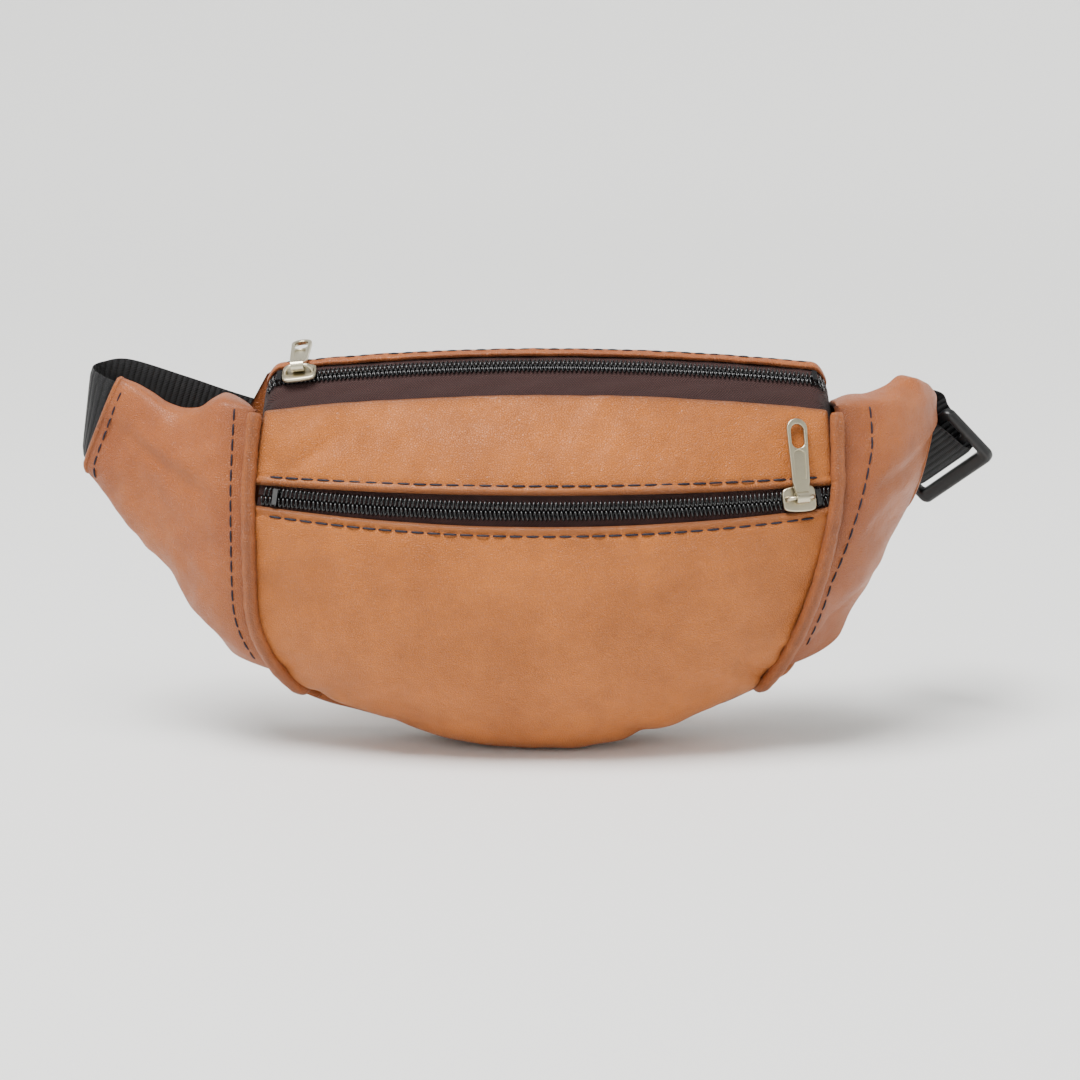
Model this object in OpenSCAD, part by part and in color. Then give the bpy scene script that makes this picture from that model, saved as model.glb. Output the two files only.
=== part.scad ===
// Waist pack: zipped leather body between two wings, with a folded webbing belt behind it.
// Worn upright: front faces -Y, up is +Z, the wearer's left-hand seam is at -X.

/* [Body] */
// Width of the body between its two side seams
body_width = 197; // [160:1:240]
// Height of the body up to the main zip
body_height = 129.5; // [100:0.5:160]
// Depth of the filled body
body_depth = 48; // [38:1:60]
// Thickness of the leather
leather = 1.4; // [1:0.1:1.8]
// Diameter of the corded piping in the side seams
piping = 4.8; // [3.5:0.1:6]
// Length of the left wing along its skin
left_wing_length = 56; // [46:1:70]
// Length of the right wing along its skin
right_wing_length = 41; // [34:1:52]

/* [Zips] */
// Length of both zips, seam to seam
zip_length = 180; // [150:1:220]
// Width of the closed coil
coil_width = 6.2; // [5:0.1:7.4]
// Length of a zip slider
slider_length = 11; // [8:0.5:14]
// Length of a pull tab from its pin
pull_length = 26.5; // [18:0.5:32]
// Width of a pull tab
pull_width = 7; // [5.5:0.1:9]

/* [Belt] */
// Width of the webbing
belt_width = 30; // [20:1:34]
// Thickness of the webbing
belt_thickness = 1.5; // [1:0.1:1.8]
// Thickness of the buckle socket
buckle_thickness = 11; // [10:0.5:14]
// Length of the buckle socket
socket_length = 42; // [38:1:50]

/* [View] */
// Part to draw

/* [Hidden] */
$fn = 40;
sx = body_width / 197;
sz = body_height / 129.5;
sd = body_depth / 48;
shift_y = 4.75;
shift_z = 1.36;
xc = 2.8 * sx;
rp = piping / 2;
gap = 0.3;

// ---------- arithmetic ----------
function mix(a, b, t) = a + (b - a) * t;
function unit(v) = v / norm(v);
function flat(rows) = [for (r = rows) for (p = r) p];
function cubic(p, t) = pow(1 - t, 3) * p[0] + 3 * t * pow(1 - t, 2) * p[1]
  + 3 * t * t * (1 - t) * p[2] + t * t * t * p[3];
function span_of(u, T, i = 0) = (i >= len(T) - 2 || u < T[i + 1][0]) ? i : span_of(u, T, i + 1);
// Smooth curve through the pairs [u, value] of T
function spline(u, T) = let (
    i = span_of(u, T), a = T[max(i - 1, 0)], b = T[i], c = T[i + 1], d = T[min(i + 2, len(T) - 1)],
    h = c[0] - b[0], t = (u - b[0]) / h, m0 = (c[1] - a[1]) / (c[0] - a[0]), m1 = (d[1] - b[1]) / (d[0] - b[0])
  ) (2 * t * t * t - 3 * t * t + 1) * b[1] + (t * t * t - 2 * t * t + t) * h * m0
    + (3 * t * t - 2 * t * t * t) * c[1] + (t * t * t - t * t) * h * m1;
// Point number s (fraction counts) on a smooth path through the points of P
function on_path(P, s) = let (
    i = min(floor(s), len(P) - 2), t = s - i, a = P[max(i - 1, 0)], b = P[i], c = P[i + 1],
    d = P[min(i + 2, len(P) - 1)]
  ) 0.5 * (2 * b + (c - a) * t + (2 * a - 5 * b + 4 * c - d) * t * t + (3 * b - a - 3 * c + d) * t * t * t);
function sampled(P, n) = [for (i = [0 : n]) on_path(P, i / n * (len(P) - 1))];
// Normal of the grid G at row i and column j: rows across columns
function normal_at(G, i, j) = let (
    m = len(G) - 1, n = len(G[0]) - 1,
    a = G[min(i + 1, m)][j] - G[max(i - 1, 0)][j], b = G[i][min(j + 1, n)] - G[i][max(j - 1, 0)]
  ) unit(cross(a, b));
function lifted(G, t) = [for (i = [0 : len(G) - 1]) [for (j = [0 : len(G[0]) - 1])
  G[i][j] + t * normal_at(G, i, j)]];

// ---------- solids from grids ----------
// Closed skin between the outer grid A and the inner grid B
module slab(A, B) {
  m = len(A);
  n = len(A[0]);
  k = m * n;
  faces = concat(
    [for (i = [0 : m - 2]) for (j = [0 : n - 2]) for (f = [
      [i * n + j, i * n + j + 1, (i + 1) * n + j + 1],
      [i * n + j, (i + 1) * n + j + 1, (i + 1) * n + j],
      [k + i * n + j, k + (i + 1) * n + j + 1, k + i * n + j + 1],
      [k + i * n + j, k + (i + 1) * n + j, k + (i + 1) * n + j + 1]]) f],
    [for (i = [0 : m - 2]) for (f = [
      [i * n, (i + 1) * n, k + (i + 1) * n],
      [i * n, k + (i + 1) * n, k + i * n],
      [i * n + n - 1, k + (i + 1) * n + n - 1, (i + 1) * n + n - 1],
      [i * n + n - 1, k + i * n + n - 1, k + (i + 1) * n + n - 1]]) f],
    [for (j = [0 : n - 2]) for (f = [
      [j, k + j + 1, j + 1],
      [j, k + j, k + j + 1],
      [(m - 1) * n + j, (m - 1) * n + j + 1, k + (m - 1) * n + j + 1],
      [(m - 1) * n + j, k + (m - 1) * n + j + 1, k + (m - 1) * n + j]]) f]);
  polyhedron(points = concat(flat(A), flat(B)), faces = faces, convexity = 6);
}

// Closed wall between the outer rings A and the inner rings B, open at both ends
module sleeve(A, B) {
  m = len(A);
  n = len(A[0]);
  k = m * n;
  faces = concat(
    [for (i = [0 : m - 2]) for (j = [0 : n - 1]) let (q = (j + 1) % n) for (f = [
      [i * n + j, i * n + q, (i + 1) * n + q],
      [i * n + j, (i + 1) * n + q, (i + 1) * n + j],
      [k + i * n + j, k + (i + 1) * n + q, k + i * n + q],
      [k + i * n + j, k + (i + 1) * n + j, k + (i + 1) * n + q]]) f],
    [for (j = [0 : n - 1]) let (q = (j + 1) % n, e = (m - 1) * n) for (f = [
      [j, k + q, q],
      [j, k + j, k + q],
      [e + j, e + q, k + e + q],
      [e + j, k + e + q, k + e + j]]) f]);
  polyhedron(points = concat(flat(A), flat(B)), faces = faces, convexity = 6);
}

// Solid through closed rings of points, capped at both ends
module rod(R) {
  m = len(R);
  n = len(R[0]);
  faces = concat(
    [for (i = [0 : m - 2]) for (j = [0 : n - 1]) let (q = (j + 1) % n) for (f = [
      [i * n + j, i * n + q, (i + 1) * n + q],
      [i * n + j, (i + 1) * n + q, (i + 1) * n + j]]) f],
    [for (j = [1 : n - 2]) for (f = [
      [0, j + 1, j],
      [(m - 1) * n, (m - 1) * n + j, (m - 1) * n + j + 1]]) f]);
  polyhedron(points = flat(R), faces = faces, convexity = 6);
}

// Round cord of radius r along the points of C
module cord(C, r, n = 10) {
  rod([for (i = [0 : len(C) - 1]) let (
      t = unit(C[min(i + 1, len(C) - 1)] - C[max(i - 1, 0)]),
      a = unit(cross([0, 1, 0.02], t)), b = cross(t, a)
    ) [for (j = [0 : n - 1]) C[i] + r * (cos(-360 * j / n) * a + sin(-360 * j / n) * b)]]);
}

// Flat webbing along the points of C, with the half-width vectors W
module webbing(C, W, thick) {
  rod([for (i = [0 : len(C) - 1]) let (
      t = unit(C[min(i + 1, len(C) - 1)] - C[max(i - 1, 0)]),
      n = unit(cross(t, W[i])) * thick / 2
    ) [C[i] - W[i] - n, C[i] - W[i] + n, C[i] + W[i] + n, C[i] + W[i] - n]]);
}

module placed() {
  translate([0, shift_y, shift_z])
    children();
}

// ---------- main zip: an arc over the top, leaning forward ----------
m_lean = 25;
m_mid = [xc, -15.5 * sd, 129.5 * sz];
m_rad = 720 * sx;
m_n = [0, -sin(m_lean), cos(m_lean)];
m_b = [0, cos(m_lean), sin(m_lean)];
m_end = asin(zip_length / 2 * sx / m_rad);
function main_at(x, r, b) = let (th = asin((x - xc) / m_rad))
  m_mid + ((m_rad + r) * cos(th) - m_rad) * m_n + [(m_rad + r) * sin(th), 0, 0] + b * m_b;
module on_main(th = 0) {
  placed()
    translate(m_mid)
      rotate([m_lean - 90, 0, 0])
        rotate([0, 0, -90])
          translate([-m_rad, 0, 0])
            rotate([0, 0, th])
              children();
}
module main_band(t0, t1) {
  on_main(t0)
    rotate_extrude(angle = t1 - t0, $fn = 160)
      translate([m_rad, 0])
        children();
}

// ---------- front zip: an arc across the front ----------
f_lean = 10;
f_turn = 30;
f_mid = [xc, -44 * sd, 87 * sz];
f_rad = 343 * sx;
f_a = [0, -cos(f_lean), -sin(f_lean)];
f_k = [0, -sin(f_lean), cos(f_lean)];
f_end = asin(zip_length / 2 * sx / f_rad);
// v is measured across the zip in its own surface, h above that surface
function front_at(x, v, h) = let (
    th = asin((x - xc) / f_rad), r = h * cos(f_turn) - v * sin(f_turn), k = h * sin(f_turn) + v * cos(f_turn)
  ) f_mid + ((f_rad + r) * cos(th) - f_rad) * f_a + [(f_rad + r) * sin(th), 0, 0] + k * f_k;
module on_front(th = 0) {
  placed()
    translate(f_mid)
      rotate([f_lean, 0, 0])
        rotate([0, 0, -90])
          translate([-f_rad, 0, 0])
            rotate([0, 0, th])
              children();
}
module front_band(t0, t1) {
  on_front(t0)
    rotate_extrude(angle = t1 - t0, $fn = 160)
      translate([f_rad, 0])
        rotate(f_turn)
          children();
}
// ---------- side seams, bottom seam ----------
function seam_left(z) = let (q = z / sz) sx * (-96 + (q < 54 ? 13 * pow((54 - q) / 34, 2) : 0));
function seam_right(z) = let (q = max(0, 105 - z / sz)) sx * (101 - 0.14 * q - 0.00002 * q * q * q);
function bottom_z(x) = let (q = x / sx)
  sz * (3 + (q < 0 ? 25 * pow(-q / 101, 2.5) : 26.6 * pow(q / 92.8, 2.5)));
function lip(x) = 5.2 - 1.6 * pow((x - xc) / (95 * sx), 2);

// ---------- front panels ----------
// u runs from the left seam to the right one, t from the bottom seam to the lower lip
function lower_point(u, t, inset) = let (
    w = pow(abs(2 * u - 1), 2.4),
    x3 = mix(seam_left(82 * sz) + inset, seam_right(82 * sz) - inset, u),
    x0 = mix(-82 * sx, 76 * sx, u),
    p3 = front_at(x3, -lip(x3), 0.7 + leather),
    c = [[7 * sd, bottom_z(x0)], [mix(40, 26, w) * sd, mix(-20, 12, w) * sz],
      [-p3[1] + mix(9.7, 7.5, w) * sd, p3[2] - mix(29, 27, w) * sz], [-p3[1], p3[2]]],
    q = cubic(c, t)
  ) [mix(seam_left(q[1]) + inset, seam_right(q[1]) - inset, u), -q[0], q[1]];
// t runs from the upper lip to the main zip
function upper_point(u, t, inset) = let (
    xa = mix(seam_left(92 * sz) + inset, seam_right(92 * sz) - inset, u),
    xb = mix(-91 * sx, 96 * sx, u),
    pa = front_at(xa, lip(xa), 0.7 + leather),
    pb = main_at(xb, -1.2, -13),
    c = [[-pa[1], pa[2]], [-pa[1] - 3.4 * sd, pa[2] + 9.4 * sz],
      [-pb[1] + 3.2 * sd, pb[2] - 5.3 * sz], [-pb[1], pb[2]]],
    q = cubic(c, t)
  ) [mix(xa, xb, t), -q[0], q[1]];
function lower_grid(m, n, inset) = [for (i = [0 : m]) [for (j = [0 : n]) lower_point(i / m, j / n, inset)]];
function upper_grid(m, n, inset) = [for (i = [0 : m]) [for (j = [0 : n]) upper_point(i / m, j / n, inset)]];

module front_lower_panel() {
  G = lower_grid(30, 16, rp + gap);
  placed()
    color("#c07a42")
      slab(G, lifted(G, leather * turned(G)));
}

module front_upper_panel() {
  G = upper_grid(30, 7, rp + gap);
  placed()
    color("#c07a42")
      slab(G, lifted(G, leather * turned(G)));
}
function turned(G) = normal_at(G, 3, 3)[1] < 0 ? -1 : 1;

// ---------- wings ----------
// Skin position u outward from the seam plane, d in front of the back plane
function wing_bent(side, len, end, u, d, z) = let (
    r = len / (end * PI / 180), th = end * max(0, u) / len, back = min(0, u)
  ) [side * (98 * sx + back + r * sin(th) + d * sin(th)), r * (1 - cos(th)) - d * cos(th), z];
function wing_top(side, s) = side < 0
  ? spline(s, [[0, 117.7], [0.14, 120.2], [0.22, 118.6], [0.35, 115.2],
      [0.54, 115.8], [0.73, 119.2], [0.95, 123.4], [1, 123.8]]) * sz
  : spline(s, [[0, 118.6], [0.12, 119.6], [0.3, 120], [0.46, 121.8],
      [0.6, 124], [0.8, 121], [1, 115.5]]) * sz;
function wing_low(side, s) = side < 0
  ? spline(s, [[0, 26.5], [0.11, 31.5], [0.2, 38.9], [0.37, 49.2],
      [0.47, 59], [0.63, 67], [0.85, 80.8], [1, 91]]) * sz
  : spline(s, [[0, 29], [0.22, 45.5], [0.43, 54], [0.56, 60.8],
      [0.69, 67.3], [1, 77]]) * sz;
function wing_deep(side, s) = sd * (side < 0
  ? spline(s, [[0, 31], [0.15, 27], [0.4, 19.5], [0.7, 13], [1, 8.6]])
  : spline(s, [[0, 30.5], [0.2, 25.5], [0.5, 18], [0.8, 12], [1, 8.6]]));
// Depth of the side seam at the height z
function seam_deep(z) = sd * spline(z / sz, [[14, 6], [22, 16], [30, 25], [45, 33], [62, 36],
  [84, 33.4], [101, 28.4], [119, 22]]);
function seam_out(side, z) = (side < 0 ? -seam_left(z) : seam_right(z)) - 98 * sx + rp + gap;
// Point of the wing's section: a is the angle, 0 at the front and 90 at the top
function wing_point(side, s, a, t) = let (
    top = wing_top(side, s), low = wing_low(side, s), f = wing_deep(side, s),
    c = cos(a), e = sin(a), hd = f / 2 - t, hz = (top - low) / 2 - t,
    cc = sign(c) * pow(abs(c), c < 0 ? 0.35 : 0.8), ee = sign(e) * pow(abs(e), 0.75),
    z = (top + low) / 2 + hz * ee,
    front = c > 0.05 ? min(1, 3 * c) : 0,
    d = mix(0.4 + f / 2 + hd * cc, seam_deep(z) - 1.2 - t, front * pow(1 - s, 4)),
    len = side < 0 ? left_wing_length : right_wing_length,
    u0 = mix(0.7, seam_out(side, z), front),
    far = side < 0 ? len * mix(1, 0.78, max(0, min(1, (z / sz - 94) / 29)))
      : len * mix(0.66, 1, max(0, min(1, (z / sz - 77) / 38)))
  ) wing_bent(side, len, side < 0 ? 12 : 65, mix(u0, far, s), d, z);
function wing_ring(side, s, t) = [for (j = [0 : 23]) wing_point(side, s, side * (360 * j / 24), t)];
module wing(side) {
  A = [for (i = [0 : 16]) wing_ring(side, i / 16, 0)];
  B = [for (i = [0 : 16]) wing_ring(side, i / 16, leather)];
  placed()
    color("#b8733e")
      sleeve(A, B);
}
module left_wing() {
  wing(-1);
}
module right_wing() {
  wing(1);
}

// ---------- corded seams ----------
function seam_path(side) = let (u = side < 0 ? 0 : 1) concat(
  [for (i = [0 : 22]) lower_point(u, i / 23, 0)],
  [for (i = [0 : 8]) upper_point(u, i / 9, 0) + [side * (rp + gap) * i / 9, 0, 0]]);
module seam_cord(side) {
  placed()
    color("#a8683a")
      cord([for (p = seam_path(side)) p + [0, -0.5, 0]], rp);
}
module left_piping() {
  seam_cord(-1);
}
module right_piping() {
  seam_cord(1);
}
module bottom_rim() {
  placed()
    color("#a8683a")
      cord([for (i = [0 : 30]) let (x = mix(-96, 92, i / 30) * sx) [x, -3.5, bottom_z(x) - 0.3]], 2.4);
}

// ---------- back ----------
module upright(d0, d1) {
  placed()
    translate([0, -d0, 0])
      rotate([90, 0, 0])
        linear_extrude(d1 - d0)
          children();
}
module back_panel() {
  color("#b8733e")
    upright(0, leather)
      polygon(concat(
        [for (i = [0 : 24]) let (x = mix(-92, 96, i / 24) * sx) [x, main_at(x, -3.7, 13.4)[2] - 0.4]],
        [[97.8 * sx, 118 * sz]],
        [for (i = [24 : -1 : 0]) let (x = mix(-97.8, 97.8, i / 24) * sx) [x, bottom_z(x) + 2.5]],
        [[-97.8 * sx, 118 * sz]]));
}
module cushion(w, z0, z1, r) {
  translate([-w, z0 + r])
    square([2 * w, z1 - z0 - 2 * r]);
  translate([-w + r, z0])
    square([2 * w - 2 * r, z1 - z0]);
  for (x = [-w + r, w - r])
    for (z = [z0 + r, z1 - r])
      translate([x, z])
        circle(r);
}
module back_padding() {
  color("#3a3a3d")
    upright(leather + 0.3, leather + 2.8)
      cushion(88 * sx, 34 * sz, 112 * sz, 10);
}
module back_lining() {
  color("#6b5a48")
    upright(leather + 3.1, leather + 3.7)
      cushion(90 * sx, 32 * sz, 114 * sz, 9);
}
module pocket_lining() {
  G = [for (i = [0 : 16]) [for (j = [0 : 4]) let (x = mix(-78, 78, i / 16), z = mix(32, 96, j / 4))
    [x * sx, -(20 + 11 * (1 - pow(x / 80, 2))) * sd, z * sz]]];
  placed()
    color("#6b5a48")
      slab(G, lifted(G, -0.6));
}
module back_top_band() {
  color("#b8733e")
    main_band(-m_end, m_end)
      polygon([[2.1, 6], [1.6, 9.5], [-1, 12.6], [-3.4, 14.2], [-3.4, 12.6], [-1.7, 11.6], [0.4, 8.8], [0.7, 6]]);
}

// ---------- tapes, chains and stops ----------
chain_end = coil_width / 2;
module tape_half(far) {
  polygon([[-0.4, 0.5], [0.4, 0.5], [0.4, far], [-0.4, far]]);
}
module chain_half() {
  polygon([[0.4, 0.5], [1.6, 0.5], [1.9, 0.9], [1.9, chain_end - 0.7], [1.4, chain_end], [0.4, chain_end]]);
}
module main_tape_front() {
  color("#4a2f31")
    main_band(-m_end, m_end)
      polygon([[0.4, -0.5], [0.4, -3.2], [-3.3, -12], [-5.5, -15.2], [-6.16, -14.75], [-4, -11.6],
        [-0.4, -3.05], [-0.4, -0.5]]);
}
module main_tape_back() {
  color("#4a2f31")
    main_band(-m_end, m_end)
      tape_half(8.2);
}
m_chain = asin((zip_length / 2 * sx - 2) / m_rad);
f_chain = asin((zip_length / 2 * sx - 2) / f_rad);
module main_chain_front() {
  color("#17161a")
    main_band(-m_chain, m_chain)
      mirror([0, 1])
        chain_half();
}
module main_chain_back() {
  color("#17161a")
    main_band(-m_chain, m_chain)
      chain_half();
}
module front_tape_upper() {
  color("#4a2f31")
    front_band(-f_end, f_end)
      tape_half(8.2);
}
module front_tape_lower() {
  color("#4a2f31")
    front_band(-f_end, f_end)
      mirror([0, 1])
        polygon([[-0.4, 0.5], [0.4, 0.5], [0.4, 3.2], [-0.2, 6], [-1, 6], [-0.4, 3.2]]);
}
module front_chain_upper() {
  color("#17161a")
    front_band(-f_chain, f_chain)
      chain_half();
}
module front_chain_lower() {
  color("#17161a")
    front_band(-f_chain, f_chain)
      mirror([0, 1])
        chain_half();
}
// Local frame on a zip: x along it, y across it, z out of its surface
module zip_frame_main(th) {
  on_main(th)
    translate([m_rad, 0, 0])
      rotate(a = 120, v = [1, 1, 1])
        children();
}
module zip_frame_front(th) {
  on_front(th)
    translate([f_rad, 0, 0])
      rotate([0, -f_turn, 0])
        rotate(a = 120, v = [1, 1, 1])
          children();
}
module stop_block() {
  translate([-0.8, -2.6, 0.4])
    cube([1.6, 5.2, 2.6]);
}
stop_in = 0.9;
module main_end_stops() {
  th = asin((zip_length / 2 * sx - stop_in) / m_rad);
  color("#c8c3af")
    for (s = [-1, 1])
      zip_frame_main(s * th)
        stop_block();
}
module front_end_stops() {
  th = asin((zip_length / 2 * sx - stop_in) / f_rad);
  color("#c8c3af")
    for (s = [-1, 1])
      zip_frame_front(s * th)
        stop_block();
}

// ---------- sliders and pull tabs ----------
rest_in = 2.1 + slider_length / 2;
m_park = -asin((zip_length / 2 * sx - rest_in) / m_rad);
f_park = asin((zip_length / 2 * sx - rest_in) / f_rad);
pin_z = 5.9;
module slider_outline() {
  h = slider_length / 2;
  polygon([[-h, -2.9], [-h + 1.8, -4.3], [h - 3.5, -4.2], [h, -3], [h, 3], [h - 3.5, 4.2],
    [-h + 1.8, 4.3], [-h, 2.9]]);
}
module slider_body() {
  translate([0, 0, 2.2])
    linear_extrude(1.2)
      slider_outline();
  translate([0, 0, -1.9])
    linear_extrude(1)
      slider_outline();
  translate([-slider_length / 2 + 1, -0.2, -1])
    cube([3.2, 0.4, 3.3]);
}
module slider_bail() {
  for (s = [-1, 1])
    translate([s * 3.9 - 0.65, -0.9, 3.4])
      cube([1.3, 1.8, pin_z - 2.5]);
  translate([-3.9, 0, pin_z])
    rotate([0, 90, 0])
      cylinder(r = 0.65, h = 7.8);
}
module pull_outline() {
  w = pull_width / 2;
  e = pull_length - w;
  polygon([[-2.1, 1], [2.1, 1], [w - 0.6, 5.5], [w, e], [-w, e], [-w + 0.6, 5.5]]);
  translate([0, e])
    circle(w);
}
module pull_tab(turn) {
  w = pull_width / 2;
  e = pull_length - w;
  difference() {
    union() {
      rotate([0, 90, 0])
        cylinder(r = 2, h = 4.2, center = true);
      rotate([0, 0, turn])
        translate([0, 0, -0.8])
          linear_extrude(1.6)
            pull_outline();
    }
    rotate([0, 90, 0])
      cylinder(r = 1.15, h = 12, center = true);
    rotate([0, 0, turn]) {
      for (y = [e - 4.4, e - 0.8])
        translate([0, y, -2])
          cylinder(r = w - 1.3, h = 4);
      translate([-w + 1.3, e - 4.4, -2])
        cube([2 * w - 2.6, 3.6, 4]);
      for (z = [-1.2, 0.5])
        translate([-w + 1.7, 6, z])
          cube([2 * w - 3.4, e - 15, 0.7]);
    }
  }
}
module main_slider() {
  color("#c8c3af")
    zip_frame_main(m_park)
      slider_body();
}
module main_slider_bail() {
  color("#c8c3af")
    zip_frame_main(m_park)
      slider_bail();
}
module main_pull() {
  color("#c8c3af")
    zip_frame_main(m_park)
      translate([0, 0, pin_z])
        rotate([-16, 0, 0])
          pull_tab(3);
}
module front_slider() {
  color("#c8c3af")
    zip_frame_front(f_park)
      rotate([0, 0, 180])
        slider_body();
}
module front_slider_bail() {
  color("#c8c3af")
    zip_frame_front(f_park)
      slider_bail();
}
module front_pull() {
  color("#c8c3af")
    zip_frame_front(f_park)
      translate([0, 0, pin_z])
        rotate([-3, 0, 0])
          pull_tab(-4);
}

// ---------- stitches ----------
// One dash of thread from p to q on a surface with the normal n
module dash(p, q, n, w = 0.45, h = 0.5) {
  s = unit(cross(n, q - p)) * w;
  a = n * 0.15;
  b = n * (0.15 + h);
  rod([for (c = [p, q]) [c - s + a, c - s + b, c + s + b, c + s + a]]);
}
module row_on_lower(t) {
  for (i = [1 : 27])
    let (u = (i + 0.5) / 29, e = 0.011, p = lower_point(u - e, t, 0), q = lower_point(u + e, t, 0),
      n = unit(cross(q - p, lower_point(u, t + 0.01, 0) - lower_point(u, t - 0.01, 0))))
      dash(p, q, n);
}
module row_on_upper(t) {
  for (i = [1 : 27])
    let (u = (i + 0.5) / 29, e = 0.011, p = upper_point(u - e, t, 0), q = upper_point(u + e, t, 0),
      n = unit(cross(q - p, upper_point(u, t + 0.03, 0) - upper_point(u, t - 0.03, 0))))
      dash(p, q, n);
}
module zip_seam_upper_stitches() {
  placed()
    color("#1f1b2e")
      row_on_upper(0.1);
}
module zip_seam_lower_stitches() {
  placed()
    color("#1f1b2e")
      row_on_lower(0.965);
}
module row_on_wing(side, s, count, a0, a1) {
  placed()
    color("#1f1b2e")
      for (i = [0 : count - 1])
        let (a = mix(a0, a1, i / (count - 1)), e = 0.32 * (a1 - a0) / (count - 1),
          p = wing_point(side, s, a - e, 0), q = wing_point(side, s, a + e, 0),
          n = side * unit(cross(wing_point(side, s + 0.03, a, 0) - wing_point(side, s - 0.03, a, 0), q - p)))
          dash(p, q, n);
}
module left_piping_stitches() {
  row_on_wing(-1, 0.09, 15, -62, 62);
}
module right_piping_stitches() {
  row_on_wing(1, 0.1, 15, -62, 62);
}
module top_band_stitches() {
  placed()
    color("#1f1b2e")
      for (i = [0 : 27])
        let (x = xc + mix(-84, 84, i / 27) * sx)
          dash(main_at(x - 1.9, 1.9, 7.6), main_at(x + 1.9, 1.9, 7.6), m_n);
}
module left_strap_tack() {
  row_on_wing(-1, 0.9, 4, -42, 42);
}

// ---------- belt and its side-release buckle ----------
hw = belt_width / 2;
belt_tilt = 8;
b_mid = [-32 * sx, 9.2, 85 * sz];
function bk(x, y, z = 0) = b_mid
  + [x * cos(belt_tilt) + z * sin(belt_tilt), y, z * cos(belt_tilt) - x * sin(belt_tilt)];
module on_belt() {
  placed()
    translate(b_mid)
      rotate([0, belt_tilt, 0])
        children();
}
sl = socket_length / 2;
bt = buckle_thickness / 2;
loop = 3.9;
up = [sin(belt_tilt), 0, cos(belt_tilt)];
// Control points: [centre, direction of the width]
l_path = [
  [[-139.5 * sx, -1.6, 102.6 * sz], [0.39, 0.05, 0.92]],
  [[-147.6 * sx, 0.6, 107.2 * sz], [0.39, 0.03, 0.92]],
  [[-152.6 * sx, 3.2, 109.8 * sz], [0.22, 0, 0.97]],
  [[-154.8 * sx, 8, 111.4 * sz], [0.14, 0, 0.99]],
  [[-152.4 * sx, 12.9, 112.6 * sz], [0.18, 0, 0.98]],
  [[-145 * sx, 14.8, 113.4 * sz], [0.28, 0, 0.95]],
  [[-126 * sx, 14.2, 107.6 * sz], [0.31, 0, 0.95]],
  [[-107.5 * sx, 13.6, 101.4 * sz], [0.3, 0, 0.95]],
  [[-84 * sx, 13.3, 94.6 * sz], [0.22, 0, 0.97]],
  [bk(-sl - 12, 4.3), up],
  [bk(-sl - 4, loop), up],
  [bk(-sl + 2, loop), up],
  [bk(-sl + 2 + loop * 0.8, loop * 0.6), up],
  [bk(-sl + 2 + loop, 0), up],
  [bk(-sl + 2 + loop * 0.8, -loop * 0.6), up],
  [bk(-sl + 2, -loop), up],
  [bk(-sl - 5, -loop + 0.4), up],
  [bk(-sl - 14, -1), up],
  [bk(-sl - 24, 0.4), up]];
pe = sl + 20.4;
a_w = unit([0.5, -0.644, 0.573]);
a_n = unit(cross(a_w, [0.69, -0.1, -0.716]));
a_l = cross(a_n, a_w);
a_mid = [140.6 * sx, 25.5, 91.3 * sz];
function ad(x, y) = a_mid + x * a_l + y * a_n;
r_path = [
  [bk(pe + 22, 0.6), up],
  [bk(pe + 12, 1.4), up],
  [bk(pe + 4, loop - 0.3), up],
  [bk(pe, loop), up],
  [bk(pe - loop * 0.8, loop * 0.6), up],
  [bk(pe - loop, 0), up],
  [bk(pe - loop * 0.8, -loop * 0.6), up],
  [bk(pe, -loop), up],
  [bk(pe + 8, -loop), up],
  [[56 * sx, 4.6, 76.5 * sz], [0.03, 0, 1]],
  [[98 * sx, 4.4, 77.5 * sz], [-0.04, 0, 1]],
  [[101.2 * sx, 6.6, 78 * sz], [-0.04, 0, 1]],
  [[98 * sx, 8.8, 78.6 * sz], [-0.04, 0, 1]],
  [[56 * sx, 9.4, 81.5 * sz], [-0.06, 0, 1]],
  [[52.6 * sx, 11.6, 82 * sz], [-0.08, 0, 1]],
  [[56 * sx, 13.8, 82.6 * sz], [-0.1, 0, 1]],
  [[98 * sx, 15.5, 90.5 * sz], [-0.16, 0, 0.98]],
  [[115 * sx, 22, 97.5 * sz], [-0.05, -0.25, 0.96]],
  [[124.5 * sx, 30.5, 104 * sz], [0.25, -0.5, 0.8]],
  [ad(-16.5, 7.2), a_w],
  [ad(-11.5, 5.6), a_w],
  [ad(-5, 4.2), a_w],
  [ad(1, 3.4), a_w],
  [ad(3.7, 2), a_w],
  [ad(4.4, 0), a_w],
  [ad(3.7, -2), a_w],
  [ad(1, -3.4), a_w],
  [ad(-5, -4.2), a_w],
  [ad(-11.5, -5.8), a_w],
  [ad(-15, -7.4), a_w],
  [[130.6 * sx, 14.6, 97.4 * sz], [0.4, -0.22, 0.84]],
  [[127.5 * sx, 8.5, 96 * sz], [0.22, 0.28, 0.92]]];
module strap(path, n) {
  C = sampled([for (p = path) p[0]], n);
  W = [for (v = sampled([for (p = path) p[1]], n)) hw * unit(v)];
  placed()
    color("#1b1b1d")
      webbing(C, W, belt_thickness);
}
module left_strap() {
  strap(l_path, 72);
}
module right_strap() {
  strap(r_path, 116);
}
module in_plane(h) {
  rotate([90, 0, 0])
    linear_extrude(h, center = true)
      children();
}
module soft_box(x0, x1, w, r) {
  translate([x0 + r, -w])
    square([x1 - x0 - 2 * r, 2 * w]);
  translate([x0, -w + r])
    square([x1 - x0, 2 * w - 2 * r]);
  for (x = [x0 + r, x1 - r])
    for (z = [-w + r, w - r])
      translate([x, z])
        circle(r);
}
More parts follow.
